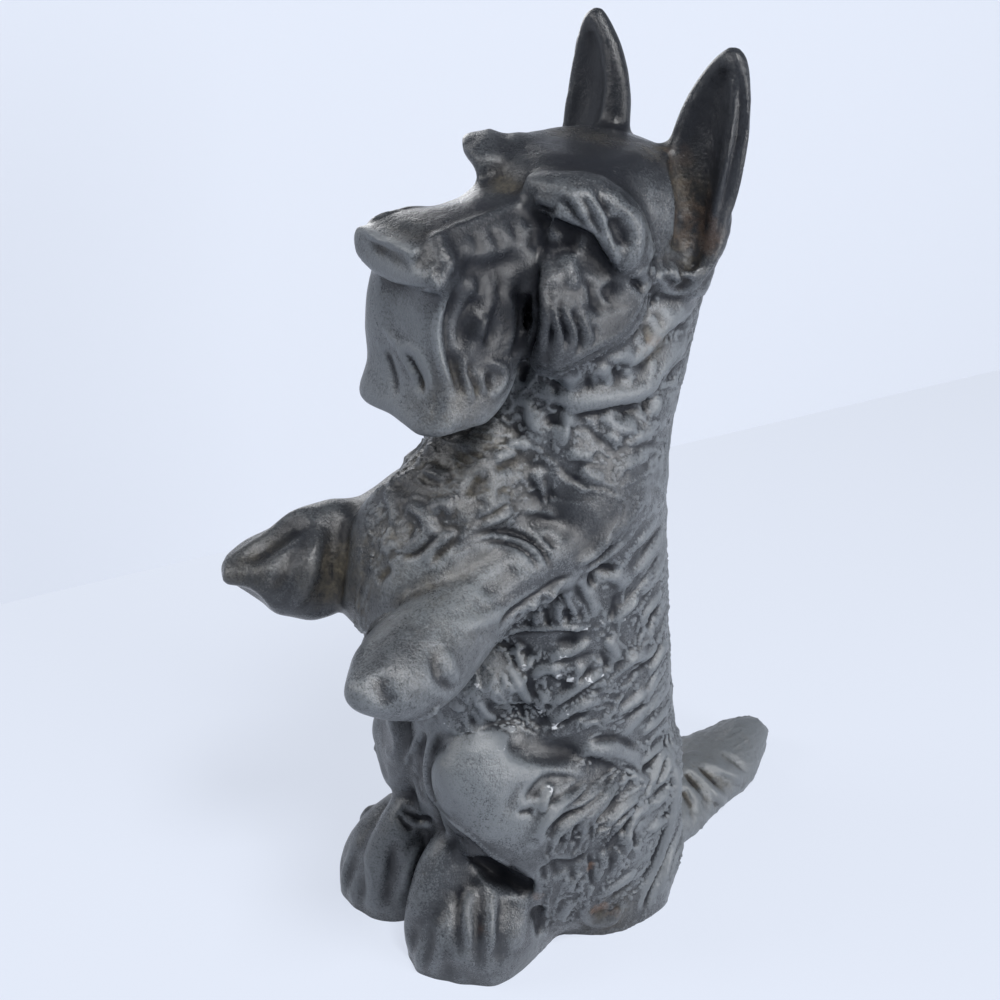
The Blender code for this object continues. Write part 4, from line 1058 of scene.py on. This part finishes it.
def drawnRelief(skin):
    # all strokes on the skin, mirrored where the camera doesn't see, and the runs that the fine fur follows
    relief = np.zeros(len(skin.points))
    covered = np.zeros(len(skin.points))
    runs = []
    for strokes, isFur, isFollowed in strokeGroups:
        for kind, width, height, points in strokes:
            leaning = isFur and kind == "ridge"
            if leaning:
                height *= reliefSet["proud"]
            elif isFur and kind == "groove" and height < reliefSet["deep"]:
                height *= reliefSet["furrow"]
            for run in castRuns(skin.tree, points):
                for mirrored in (False, True):
                    picked, moved = strokeRelief(skin.points, skin.normals, run, kind, width * mm,
                                                 height * mm * reliefSet["boost"], mirrored, leaning)
                    if mirrored:
                        moved = moved * skin.unseen[picked]
                    relief[picked] += moved
                    covered[picked] = np.maximum(covered[picked], np.abs(moved))
                if isFollowed:
                    runs.append([spot for spot, normal in run])
                    runs.append([Vector((-spot.x, spot.y, spot.z)) for spot, normal in run])
    return relief, covered, runs


def guideRuns(parts=8):
    # the guides of the unseen sides, in short steps, on the left and on the right
    runs = []
    for line in guideLines:
        for side in (1, -1):
            corners = [Vector((side * x, y, z)) * mm for x, y, z in line]
            run = []
            for start, end in zip(corners, corners[1:]):
                run.extend(start.lerp(end, k / parts) for k in range(parts))
            runs.append(run)
    return runs


def fineFur(skin, covered, runs):
    # combed fur and strands, where the drawn relief leaves them room
    flow = FlowField(runs)
    room = 1 - eased(covered / reliefSet["room"])
    least = reliefSet["combLeast"]
    relief = combedFur(skin.points, flow) * (least + (1 - least) * room)
    strands = strandRuns(skin.points, flow, skin.tree, room)
    least = reliefSet["strandLeast"]
    for run, width, height in strands:
        picked, moved = strokeRelief(skin.points, skin.normals, run, "ridge", width * mm, height * mm,
                                     leaning=True)
        relief[picked] += moved * (least + (1 - least) * room[picked])
    report("%d strands laid" % len(strands))
    return relief


def limited(skin, relief, deepest):
    # crests are kept low, the masses under them swell as pressed clay does, and the wall is kept
    crestTop = reliefSet["crest"]
    relief = np.where(relief > 0, crestTop * (1 - np.exp(-relief / crestTop)), relief)
    relief = relief + skin.evened(relief, reliefSet["swellPasses"]) * reliefSet["swell"]
    deepest = np.minimum(deepest, skin.evened(deepest, reliefSet["evenPasses"]))
    relief = np.where(relief < 0, -deepest * (1 - np.exp(np.minimum(relief, 0) / deepest)), relief)
    return np.minimum(relief, reliefSet["rise"])


moveMasses(figure, 1)
moveMasses(hollow, reliefSet["under"])
skin = Skin(figure)
deepest = depthAllowed(skin.tree, hollow, skin.points, skin.normals)
report("skin ready for the relief")
relief, covered, flowRuns = drawnRelief(skin)
report("strokes cast: %.2f to %.2f mm" % (relief.min() / mm, relief.max() / mm))
relief += fineFur(skin, covered, flowRuns + guideRuns())
for spread, depth in reliefSet["mould"]:
    for index, spot in enumerate(skin.points):
        relief[index] += depth * noise.noise(Vector(spot) / spread)
relief = limited(skin, relief, deepest)
setPoints(figure, skin.points + skin.normals * relief[:, None])
report("relief carved: %.2f to %.2f mm" % (relief.min() / mm, relief.max() / mm))

# Crevices and crests: how far a point lies under or over its surroundings
shadeSet = {
    "passes": (4, 24),                    # the near and the wide surroundings
    "crevice": ((0.20, 0.4), (0.8, 0.6)), # for each, the depth in mm that counts in full, and its share
    "crest": ((0.14, 0.75), (0.7, 0.25)), # and the height
}


def shadeValues(skin, points, normals):
    depths = []
    for passes in shadeSet["passes"]:
        depths.append(((skin.evened(points, passes) - points) * normals).sum(1) / mm)
    values = {}
    for key, sign in (("crevice", 1), ("crest", -1)):
        values[key] = sum(np.clip(sign * depth / full, 0, 1) * share
                          for depth, (full, share) in zip(depths, shadeSet[key]))
    return values


carvedPoints, carvedNormals = skinArrays(figure)
castValues = {}
for key, (spots, rest, blend) in spotSet.items():
    castValues[key] = spotValues(skin.tree, skin.points, skin.unseen, spots, rest, blend)
castValues.update(shadeValues(skin, carvedPoints, carvedNormals))
carvedTree = KDTree(len(carvedPoints))
for index, spot in enumerate(carvedPoints):
    carvedTree.insert(spot, index)
carvedTree.balance()
report("stains and crevices worked out")


# Halves: the figure is cut down the middle, hollowed, drilled and pegged as the solids are
halfSet = {
    "reach": 0.4,             # size of the boxes that cut
    "past": 2 * mm,           # how far a cutter runs past what it cuts
    "screw": 6.35 * mm,
    "head": 11.0 * mm,
    "headHeight": 4.0 * mm,
    "play": 0.3 * mm,         # gap round screws and pegs
    "blind": 21.5 * mm,       # depth of the tapped holes
    "peg": 5.0 * mm,
    "pegLength": 4.0 * mm,
    "pegRoot": 3 * mm,        # how far a peg starts inside its half
    "pegsApart": 0.16,        # height that lies between the two pegs
    "clear": 10 * mm,         # how far the screw cutters run past the head
    "nearSkin": 1.2 * mm,     # what lies further from the carved skin is inside
    "creaseAngle": 52,        # sharper edges stay sharp, in degrees
    "facets": 40,
}


def blockFrom(name, low, high):
    bpy.ops.object.select_all(action="DESELECT")
    bpy.ops.mesh.primitive_cube_add(size=1, location=[(a + b) / 2 for a, b in zip(low, high)])
    block = bpy.context.object
    block.name = name
    block.scale = [b - a for a, b in zip(low, high)]
    bpy.ops.object.transform_apply(location=True, rotation=True, scale=True)
    return block


def rodFrom(name, y, z, start, end, diameter):
    bpy.ops.object.select_all(action="DESELECT")
    bpy.ops.mesh.primitive_cylinder_add(vertices=halfSet["facets"], radius=diameter / 2,
                                        depth=abs(end - start), location=((start + end) / 2, y, z),
                                        rotation=(0, math.pi / 2, 0))
    rod = bpy.context.object
    rod.name = name
    bpy.ops.object.transform_apply(location=True, rotation=True, scale=True)
    return rod


def joined(piece, tool, operation, keep=False):
    applied(piece, "BOOLEAN", operation=operation, solver="MANIFOLD", object=tool)
    if not keep:
        bpy.data.objects.remove(tool, do_unlink=True)
    return piece


def pegSpots():
    # the pegs are what stands out of the left half past the seam
    past = [v.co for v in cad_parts["left_half"].data.vertices if v.co.x < -2 * mm]
    low = [co for co in past if co.z < halfSet["pegsApart"]]
    high = [co for co in past if co.z >= halfSet["pegsApart"]]
    spots = []
    for group in (low, high):
        ys = [co.y for co in group]
        zs = [co.z for co in group]
        spots.append(((min(ys) + max(ys)) / 2, (min(zs) + max(zs)) / 2))
    return spots


def castHalf(name, side):
    reach, past, flush = halfSet["reach"], halfSet["past"], skinSet["flush"]
    half = bpy.data.objects.new(name, figure.data.copy())
    bpy.context.scene.collection.objects.link(half)
    ends = sorted((side * flush, side * reach))
    joined(half, blockFrom("side", (ends[0], -reach, 0), (ends[1], reach, 2 * reach)), "INTERSECT")
    joined(half, hollow, "DIFFERENCE", keep=True)
    wide = halfSet["screw"] + 2 * halfSet["play"]
    for screw in ("lower_screw", "upper_screw"):
        low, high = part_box(screw)
        y, z = (low[1] + high[1]) / 2, (low[2] + high[2]) / 2
        if side > 0:
            joined(half, rodFrom("tapped", y, z, -past, halfSet["blind"], wide), "DIFFERENCE")
        else:
            seat = low[0] + halfSet["headHeight"] + halfSet["play"]
            outer = low[0] - halfSet["clear"]
            joined(half, rodFrom("clear", y, z, outer, past, wide), "DIFFERENCE")
            headWide = halfSet["head"] + 2 * halfSet["play"]
            joined(half, rodFrom("counterbore", y, z, outer, seat, headWide), "DIFFERENCE")
    for y, z in pegSpots():
        if side > 0:
            peg = rodFrom("peg", y, z, -halfSet["pegLength"], halfSet["pegRoot"], halfSet["peg"])
            joined(half, peg, "UNION")
        else:
            wideSocket = halfSet["peg"] + 2 * halfSet["play"]
            depth = halfSet["pegLength"] + halfSet["play"]
            joined(half, rodFrom("socket", y, z, -depth, past, wideSocket), "DIFFERENCE")
    return half


def carryValues(half, tree, values):
    # the casting's crevices, wear, stains, and painted sheen and shade come over from the carved skin
    mesh = half.data
    spots = np.empty(len(mesh.vertices) * 3)
    mesh.vertices.foreach_get("co", spots)
    spots = spots.reshape(-1, 3)
    found = [tree.find(spot) for spot in spots]
    nearest = np.array([item[1] for item in found])
    far = np.array([item[2] for item in found])
    inside = (far > halfSet["nearSkin"]).astype(float)
    for key, value in values.items():
        layer = mesh.attributes.new(key, "FLOAT", "POINT")
        carried = value[nearest] * (1 - inside)
        layer.data.foreach_set("value", carried.astype(np.float32))
    layer = mesh.attributes.new("inside", "FLOAT", "POINT")
    layer.data.foreach_set("value", inside.astype(np.float32))


# Finishes
castSet = {
    "paint": (0.008, 0.009, 0.012),       # semi-gloss black
    "film_sheen_and_shade": (0.080, 0.089, 0.099),        # the dull grey film on it, also the tone of painted sheen
    "worn": (0.34, 0.35, 0.37),           # bare metal on the crests
    "dust": (0.100, 0.088, 0.064),        # olive dust in the crevices
    "rust": (0.085, 0.050, 0.032),
    "bare": (0.040, 0.032, 0.028),        # the unpainted inside
    "shine": (0.5, 0.12),                 # specular level of the paint, and of dirt in the crevices
    "bareShine": 0.6,                     # share of it where no film lies
    "gloss": (0.20, 0.36),                # roughness of clean paint and of the film
    # scale, detail, roughness and distortion of each noise
    "noises": {
        "patches": (45, 5, 0.6, 0.0),
        "blots": (150, 5, 0.65, 0.4),
        "lumps": (300, 4, 0.55, 0.0),
        "speckle": (700, 3, 0.6, 0.0),
        "grain": (1300, 4, 0.65, 0.0),
    },
    "bumps": {"lumps": (0.50, 0.8 * mm), "grain": (0.80, 0.28 * mm)},   # strength and height
    # spans: a value from the first number to the second gives 0 to 1, or the third number to the fourth; the
    # film's spans on the crests and in the crevices paint highlights along the crests and shade in the
    # crevices
    "paintedHighlightOnCrest": (0.0, 0.8, 0.72, 2.2),
    "paintedShadeInCrevice": 0.85,
    "filmInPatches": (0.3, 0.7, 0.75, 1.2),
    "filmInGrain": (0.38, 0.62, 0.5, 1.5),
    "filmInSpeckle": (0.35, 0.65, 0.70, 1.25),
    "flecks": 1.1,                        # share of the speckle in the wear
    "flecksFrom": (1.12, 1.22),
    "flecksOnCrest": (0.0, 0.15),
    "dustInCrevice": (0.0, 0.5, 0.4, 1.0),
    "dustInBlots": (0.35, 0.65, 0.15, 1.1),
    "dustInSpeckle": (0.3, 0.65, 0.4, 1.1),
    "rustInBlots": (0.3, 0.6, 0.2, 1.4),
    "rustFrom": (0.12, 0.55),
    "rustMost": 0.85,
    "rustInside": (0.42, 0.62),
    "roughWithFilm": (0.0, 0.8),
    "roughInPatches": (0.3, 0.7, -0.05, 0.07),
    "roughDust": 0.35,                    # added roughness of dust and of the inside
    "roughInside": 0.35,
    "smoothWorn": 0.08,                   # and what worn metal takes off it
    "shineInCrevice": (0.25, 1.0),
    "shineWithFilm": (0.0, 0.5),
}


def newMaterial(name):
    material = bpy.data.materials.new(name)
    material.use_nodes = True
    return material, material.node_tree.nodes, material.node_tree.links


class Weaver:
    # short names for the nodes of one material
    def __init__(self, name):
        self.material, self.nodes, self.links = newMaterial(name)
        self.shader = self.nodes["Principled BSDF"]
        self.space = self.nodes.new("ShaderNodeTexCoord").outputs["Object"]

    def link(self, value, socket):
        if isinstance(value, bpy.types.NodeSocket):
            self.links.new(value, socket)
        else:
            socket.default_value = value

    def value(self, name):
        node = self.nodes.new("ShaderNodeAttribute")
        node.attribute_name = name
        return node.outputs["Fac"]

    def noise(self, scale, detail, rough=0.5, warp=0.0):
        node = self.nodes.new("ShaderNodeTexNoise")
        self.links.new(self.space, node.inputs["Vector"])
        node.inputs["Scale"].default_value = scale
        node.inputs["Detail"].default_value = detail
        node.inputs["Roughness"].default_value = rough
        node.inputs["Distortion"].default_value = warp
        return node.outputs["Fac"]

    def sum(self, kind, first, second=0.0, clamp=False):
        node = self.nodes.new("ShaderNodeMath")
        node.operation = kind
        node.use_clamp = clamp
        self.link(first, node.inputs[0])
        self.link(second, node.inputs[1])
        return node.outputs[0]

    def span(self, value, low, high, bottom=0.0, top=1.0):
        node = self.nodes.new("ShaderNodeMapRange")
        self.link(value, node.inputs["Value"])
        for key, number in (("From Min", low), ("From Max", high), ("To Min", bottom), ("To Max", top)):
            node.inputs[key].default_value = number
        return node.outputs["Result"]

    def mix(self, share, first, second):
        node = self.nodes.new("ShaderNodeMix")
        node.data_type = "RGBA"
        self.link(share, node.inputs[0])
        self.link((*first, 1) if isinstance(first, tuple) else first, node.inputs[6])
        self.link((*second, 1) if isinstance(second, tuple) else second, node.inputs[7])
        return node.outputs[2]

    def bump(self, height, strength, distance, below=None):
        node = self.nodes.new("ShaderNodeBump")
        node.inputs["Strength"].default_value = strength
        node.inputs["Distance"].default_value = distance
        self.links.new(height, node.inputs["Height"])
        if below is not None:
            self.links.new(below, node.inputs["Normal"])
        return node.outputs["Normal"]


def castPaint():
    cast = Weaver("black_paint")
    crevice, crest, inside = cast.value("crevice"), cast.value("crest"), cast.value("inside")
    film_sheen_and_shade, rust, dust = cast.value("film_sheen_and_shade"), cast.value("rust"), cast.value("dust")
    noises = {key: cast.noise(*values) for key, values in castSet["noises"].items()}
    patches, blots, speckle = noises["patches"], noises["blots"], noises["speckle"]
    # a dull film lies over the black, thin in the crevices as painted shade and full on the crests as painted
    # highlights
    creviceShade = cast.sum("MULTIPLY", crevice, castSet["paintedShadeInCrevice"])
    full = cast.sum("SUBTRACT", cast.span(crest, *castSet["paintedHighlightOnCrest"]), creviceShade)
    full = cast.sum("MULTIPLY", cast.sum("MAXIMUM", full, 0.0), film_sheen_and_shade)
    full = cast.sum("MULTIPLY", full, cast.span(patches, *castSet["filmInPatches"]))
    full = cast.sum("MULTIPLY", full, cast.span(noises["grain"], *castSet["filmInGrain"]))
    full = cast.sum("MULTIPLY", full, cast.span(speckle, *castSet["filmInSpeckle"]), True)
    colour = cast.mix(full, castSet["paint"], castSet["film_sheen_and_shade"])
    # the paint is rubbed off in flecks on the crests
    rubbed = cast.sum("ADD", cast.value("wear"), cast.sum("MULTIPLY", speckle, castSet["flecks"]))
    rubbed = cast.span(rubbed, *castSet["flecksFrom"])
    rubbed = cast.sum("MULTIPLY", rubbed, cast.span(crest, *castSet["flecksOnCrest"]), True)
    colour = cast.mix(rubbed, colour, castSet["worn"])
    # dust gathers in the crevices, and rust comes through in blots
    dusty = cast.sum("MULTIPLY", dust, cast.span(crevice, *castSet["dustInCrevice"]))
    dusty = cast.sum("MULTIPLY", dusty, cast.span(blots, *castSet["dustInBlots"]))
    dusty = cast.sum("MULTIPLY", dusty, cast.span(speckle, *castSet["dustInSpeckle"]), True)
    colour = cast.mix(dusty, colour, castSet["dust"])
    rusty = cast.sum("MULTIPLY", rust, cast.span(blots, *castSet["rustInBlots"]))
    rusty = cast.sum("MULTIPLY", cast.span(rusty, *castSet["rustFrom"]), castSet["rustMost"], True)
    colour = cast.mix(rusty, colour, castSet["rust"])
    bare = cast.mix(cast.span(blots, *castSet["rustInside"]), castSet["bare"], castSet["rust"])
    colour = cast.mix(inside, colour, bare)
    cast.link(colour, cast.shader.inputs["Base Color"])
    rough = cast.span(full, *castSet["roughWithFilm"], *castSet["gloss"])
    rough = cast.sum("ADD", rough, cast.span(patches, *castSet["roughInPatches"]))
    rough = cast.sum("ADD", rough, cast.sum("MULTIPLY", dusty, castSet["roughDust"]))
    rough = cast.sum("ADD", rough, cast.sum("MULTIPLY", inside, castSet["roughInside"]))
    rough = cast.sum("SUBTRACT", rough, cast.sum("MULTIPLY", rubbed, castSet["smoothWorn"]), True)
    cast.link(rough, cast.shader.inputs["Roughness"])
    # dirt in the crevices takes the shine off
    shine = cast.span(crevice, *castSet["shineInCrevice"], *castSet["shine"])
    shine = cast.sum("MULTIPLY", shine, cast.span(film_sheen_and_shade, *castSet["shineWithFilm"], castSet["bareShine"], 1.0))
    cast.link(shine, cast.shader.inputs["Specular IOR Level"])
    relief = None
    for key, (strength, height) in castSet["bumps"].items():
        relief = cast.bump(noises[key], strength, height, relief)
    cast.link(relief, cast.shader.inputs["Normal"])
    return cast.material


steelSet = {
    "clean": (0.24, 0.22, 0.20),
    "rusted": (0.10, 0.055, 0.035),
    "rustFrom": (0.4, 0.65),              # the patches' values where rust starts and is full
    "roughFrom": (0.3, 0.7),
    "rough": (0.35, 0.7),
    "metallic": 0.85,
    "patches": (420, 4, 0.6),
    "grain": (1800, 2, 0.55),
    "bump": (0.25, 0.2 * mm),
}


def screwSteel():
    steel = Weaver("screw_steel")
    patches = steel.noise(*steelSet["patches"])
    colour = steel.mix(steel.span(patches, *steelSet["rustFrom"]), steelSet["clean"], steelSet["rusted"])
    steel.link(colour, steel.shader.inputs["Base Color"])
    rough = steel.span(patches, *steelSet["roughFrom"], *steelSet["rough"])
    steel.link(rough, steel.shader.inputs["Roughness"])
    steel.shader.inputs["Metallic"].default_value = steelSet["metallic"]
    normal = steel.bump(steel.noise(*steelSet["grain"]), *steelSet["bump"])
    steel.link(normal, steel.shader.inputs["Normal"])
    return steel.material


castMaterial = castPaint()
for name, side, node, slot in (("left_skin", 1, "left_half", "casting_left"),
                               ("right_skin", -1, "right_half", "casting_right")):
    half = castHalf(name, side)
    carryValues(half, carvedTree, castValues)
    half.data.materials.clear()
    half.data.materials.append(castMaterial)
    only(half)
    bpy.ops.object.shade_smooth_by_angle(angle=math.radians(halfSet["creaseAngle"]))
    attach(half, "root")
    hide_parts(node)
    half.data.calc_loop_triangles()
    report("%s: %d triangles" % (name, len(half.data.loop_triangles)))
for spare in (figure, hollow):
    bpy.data.objects.remove(spare, do_unlink=True)

screwMaterial = screwSteel()
for screw in ("lower_screw", "upper_screw"):
    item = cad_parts[screw]
    for slot in item.material_slots:
        slot.material = screwMaterial


# Stage: a pale floor, a pale wall behind and soft lamps
stageSet = {
    "pale": (0.705, 0.755, 0.862, 1.0),
    "wallFrom": (-0.336, -0.122),         # where the wall meets the floor
    "wallTo": (-0.236, 0.720),
    "wallSize": (8.0, 2.0),
    "floorSize": (8.0, 8.0),
    "floorLow": 0.2 * mm,                 # the floor lies this far under the rim
    "rough": 0.8,
    "floorShade": 0.13,                   # share of the floor's own light and shadow that shows
    "ambient": 0.80,                      # light of the pale walls low behind the piece
    "above": 0.20,                        # share of it that the room gives from above
    "heights": (0.12, 0.42),              # rises of a sight line between which it falls to that
    "front": 0.22,                        # share of it from where the camera stands
    "toward": (0.62, -0.76, 0.10),        # which way that is
    "turns": (-0.2, 0.7),                 # cosines to it between which the light falls to that share
}
# Lamps: place, aim, size and power
lampSet = {
    "side_lamp": ((1.4, 0.35, 0.55), (0, 0, 0.15), 0.7, 24),
    "front_lamp": ((-0.7, -1.2, 1.0), (0, 0, 0.2), 0.5, 14),
    "left_lamp": ((-1.1, 0.35, 0.45), (0, -0.05, 0.2), 0.5, 3),
    "top_lamp": ((0.60, -0.30, 1.45), (0, 0, 0.2), 0.35, 27),
}


def paleFinish():
    material, nodes, links = newMaterial("pale_stage")
    shader = nodes["Principled BSDF"]
    shader.inputs["Base Color"].default_value = stageSet["pale"]
    shader.inputs["Roughness"].default_value = stageSet["rough"]
    glow = nodes.new("ShaderNodeEmission")
    glow.inputs["Color"].default_value = stageSet["pale"]
    path = nodes.new("ShaderNodeLightPath")
    ways = nodes.new("ShaderNodeMath")
    ways.operation = "MAXIMUM"
    links.new(path.outputs["Is Camera Ray"], ways.inputs[0])
    links.new(path.outputs["Is Glossy Ray"], ways.inputs[1])
    share = nodes.new("ShaderNodeMath")
    share.operation = "MULTIPLY"
    share.inputs[1].default_value = 1 - stageSet["floorShade"]
    links.new(ways.outputs[0], share.inputs[0])
    both = nodes.new("ShaderNodeMixShader")
    links.new(share.outputs[0], both.inputs["Fac"])
    links.new(shader.outputs[0], both.inputs[1])
    links.new(glow.outputs[0], both.inputs[2])
    # from behind, a sheet is clear
    side = nodes.new("ShaderNodeNewGeometry")
    clear = nodes.new("ShaderNodeBsdfTransparent")
    seen = nodes.new("ShaderNodeMixShader")
    links.new(side.outputs["Backfacing"], seen.inputs["Fac"])
    links.new(both.outputs[0], seen.inputs[1])
    links.new(clear.outputs[0], seen.inputs[2])
    links.new(seen.outputs[0], nodes["Material Output"].inputs["Surface"])
    return material


def paleSheet(name, size, place, turn, finish):
    bpy.ops.object.select_all(action="DESELECT")
    bpy.ops.mesh.primitive_plane_add(size=1, location=place, rotation=turn)
    sheet = bpy.context.object
    sheet.name = name
    sheet.scale = (*size, 1)
    sheet.data.materials.append(finish)
    return sheet


def paleWall(finish):
    # the wall is only a backdrop: it neither shades the lamps nor shows in the paint
    start, end = Vector(stageSet["wallFrom"]), Vector(stageSet["wallTo"])
    middle = (start + end) / 2
    heading = math.atan2(end.y - start.y, end.x - start.x)
    size = stageSet["wallSize"]
    wall = paleSheet("wall", size, (middle.x, middle.y, size[1] / 2), (math.pi / 2, 0, heading), finish)
    wall.visible_shadow = False
    wall.visible_diffuse = False
    wall.visible_glossy = False


def makeWorld():
    # a pale room, bright low behind the piece, and even to the camera
    world = bpy.data.worlds.new("studio")
    bpy.context.scene.world = world
    world.use_nodes = True
    nodes, links = world.node_tree.nodes, world.node_tree.links

    def worked(kind, first, second):
        node = nodes.new("ShaderNodeMath")
        node.operation = kind
        links.new(first, node.inputs[0])
        links.new(second, node.inputs[1])
        return node.outputs[0]

    def falling(value, between, first, last):
        node = nodes.new("ShaderNodeMapRange")
        links.new(value, node.inputs["Value"])
        for key, number in zip(("From Min", "From Max", "To Min", "To Max"), (*between, first, last)):
            node.inputs[key].default_value = number
        return node.outputs["Result"]

    direction = nodes.new("ShaderNodeTexCoord").outputs["Generated"]
    split = nodes.new("ShaderNodeSeparateXYZ")
    links.new(direction, split.inputs[0])
    ambient = stageSet["ambient"]
    glow = falling(split.outputs["Z"], stageSet["heights"], ambient, ambient * stageSet["above"])
    facing = nodes.new("ShaderNodeVectorMath")
    facing.operation = "DOT_PRODUCT"
    facing.inputs[1].default_value = stageSet["toward"]
    links.new(direction, facing.inputs[0])
    dimming = falling(facing.outputs["Value"], stageSet["turns"], 1.0, stageSet["front"])
    toCamera = nodes.new("ShaderNodeLightPath").outputs["Is Camera Ray"]
    strength = worked("MAXIMUM", worked("MULTIPLY", glow, dimming), toCamera)
    nodes["Background"].inputs["Color"].default_value = stageSet["pale"]
    links.new(strength, nodes["Background"].inputs["Strength"])


def softLamp(name, place, aim, size, power):
    bpy.ops.object.select_all(action="DESELECT")
    turn = (Vector(aim) - Vector(place)).to_track_quat("-Z", "Y").to_euler()
    bpy.ops.object.light_add(type="AREA", location=place, rotation=turn)
    lamp = bpy.context.object
    lamp.name = name
    lamp.data.shape = "SQUARE"
    lamp.data.size = size
    lamp.data.energy = power


paleMaterial = paleFinish()
paleSheet("floor", stageSet["floorSize"], (0, 0, -stageSet["floorLow"]), (0, 0, 0), paleMaterial)
paleWall(paleMaterial)
makeWorld()
for name, values in lampSet.items():
    softLamp(name, *values)
bpy.context.scene.view_settings.view_transform = "Standard"

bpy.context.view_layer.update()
report("stage and lamps set")
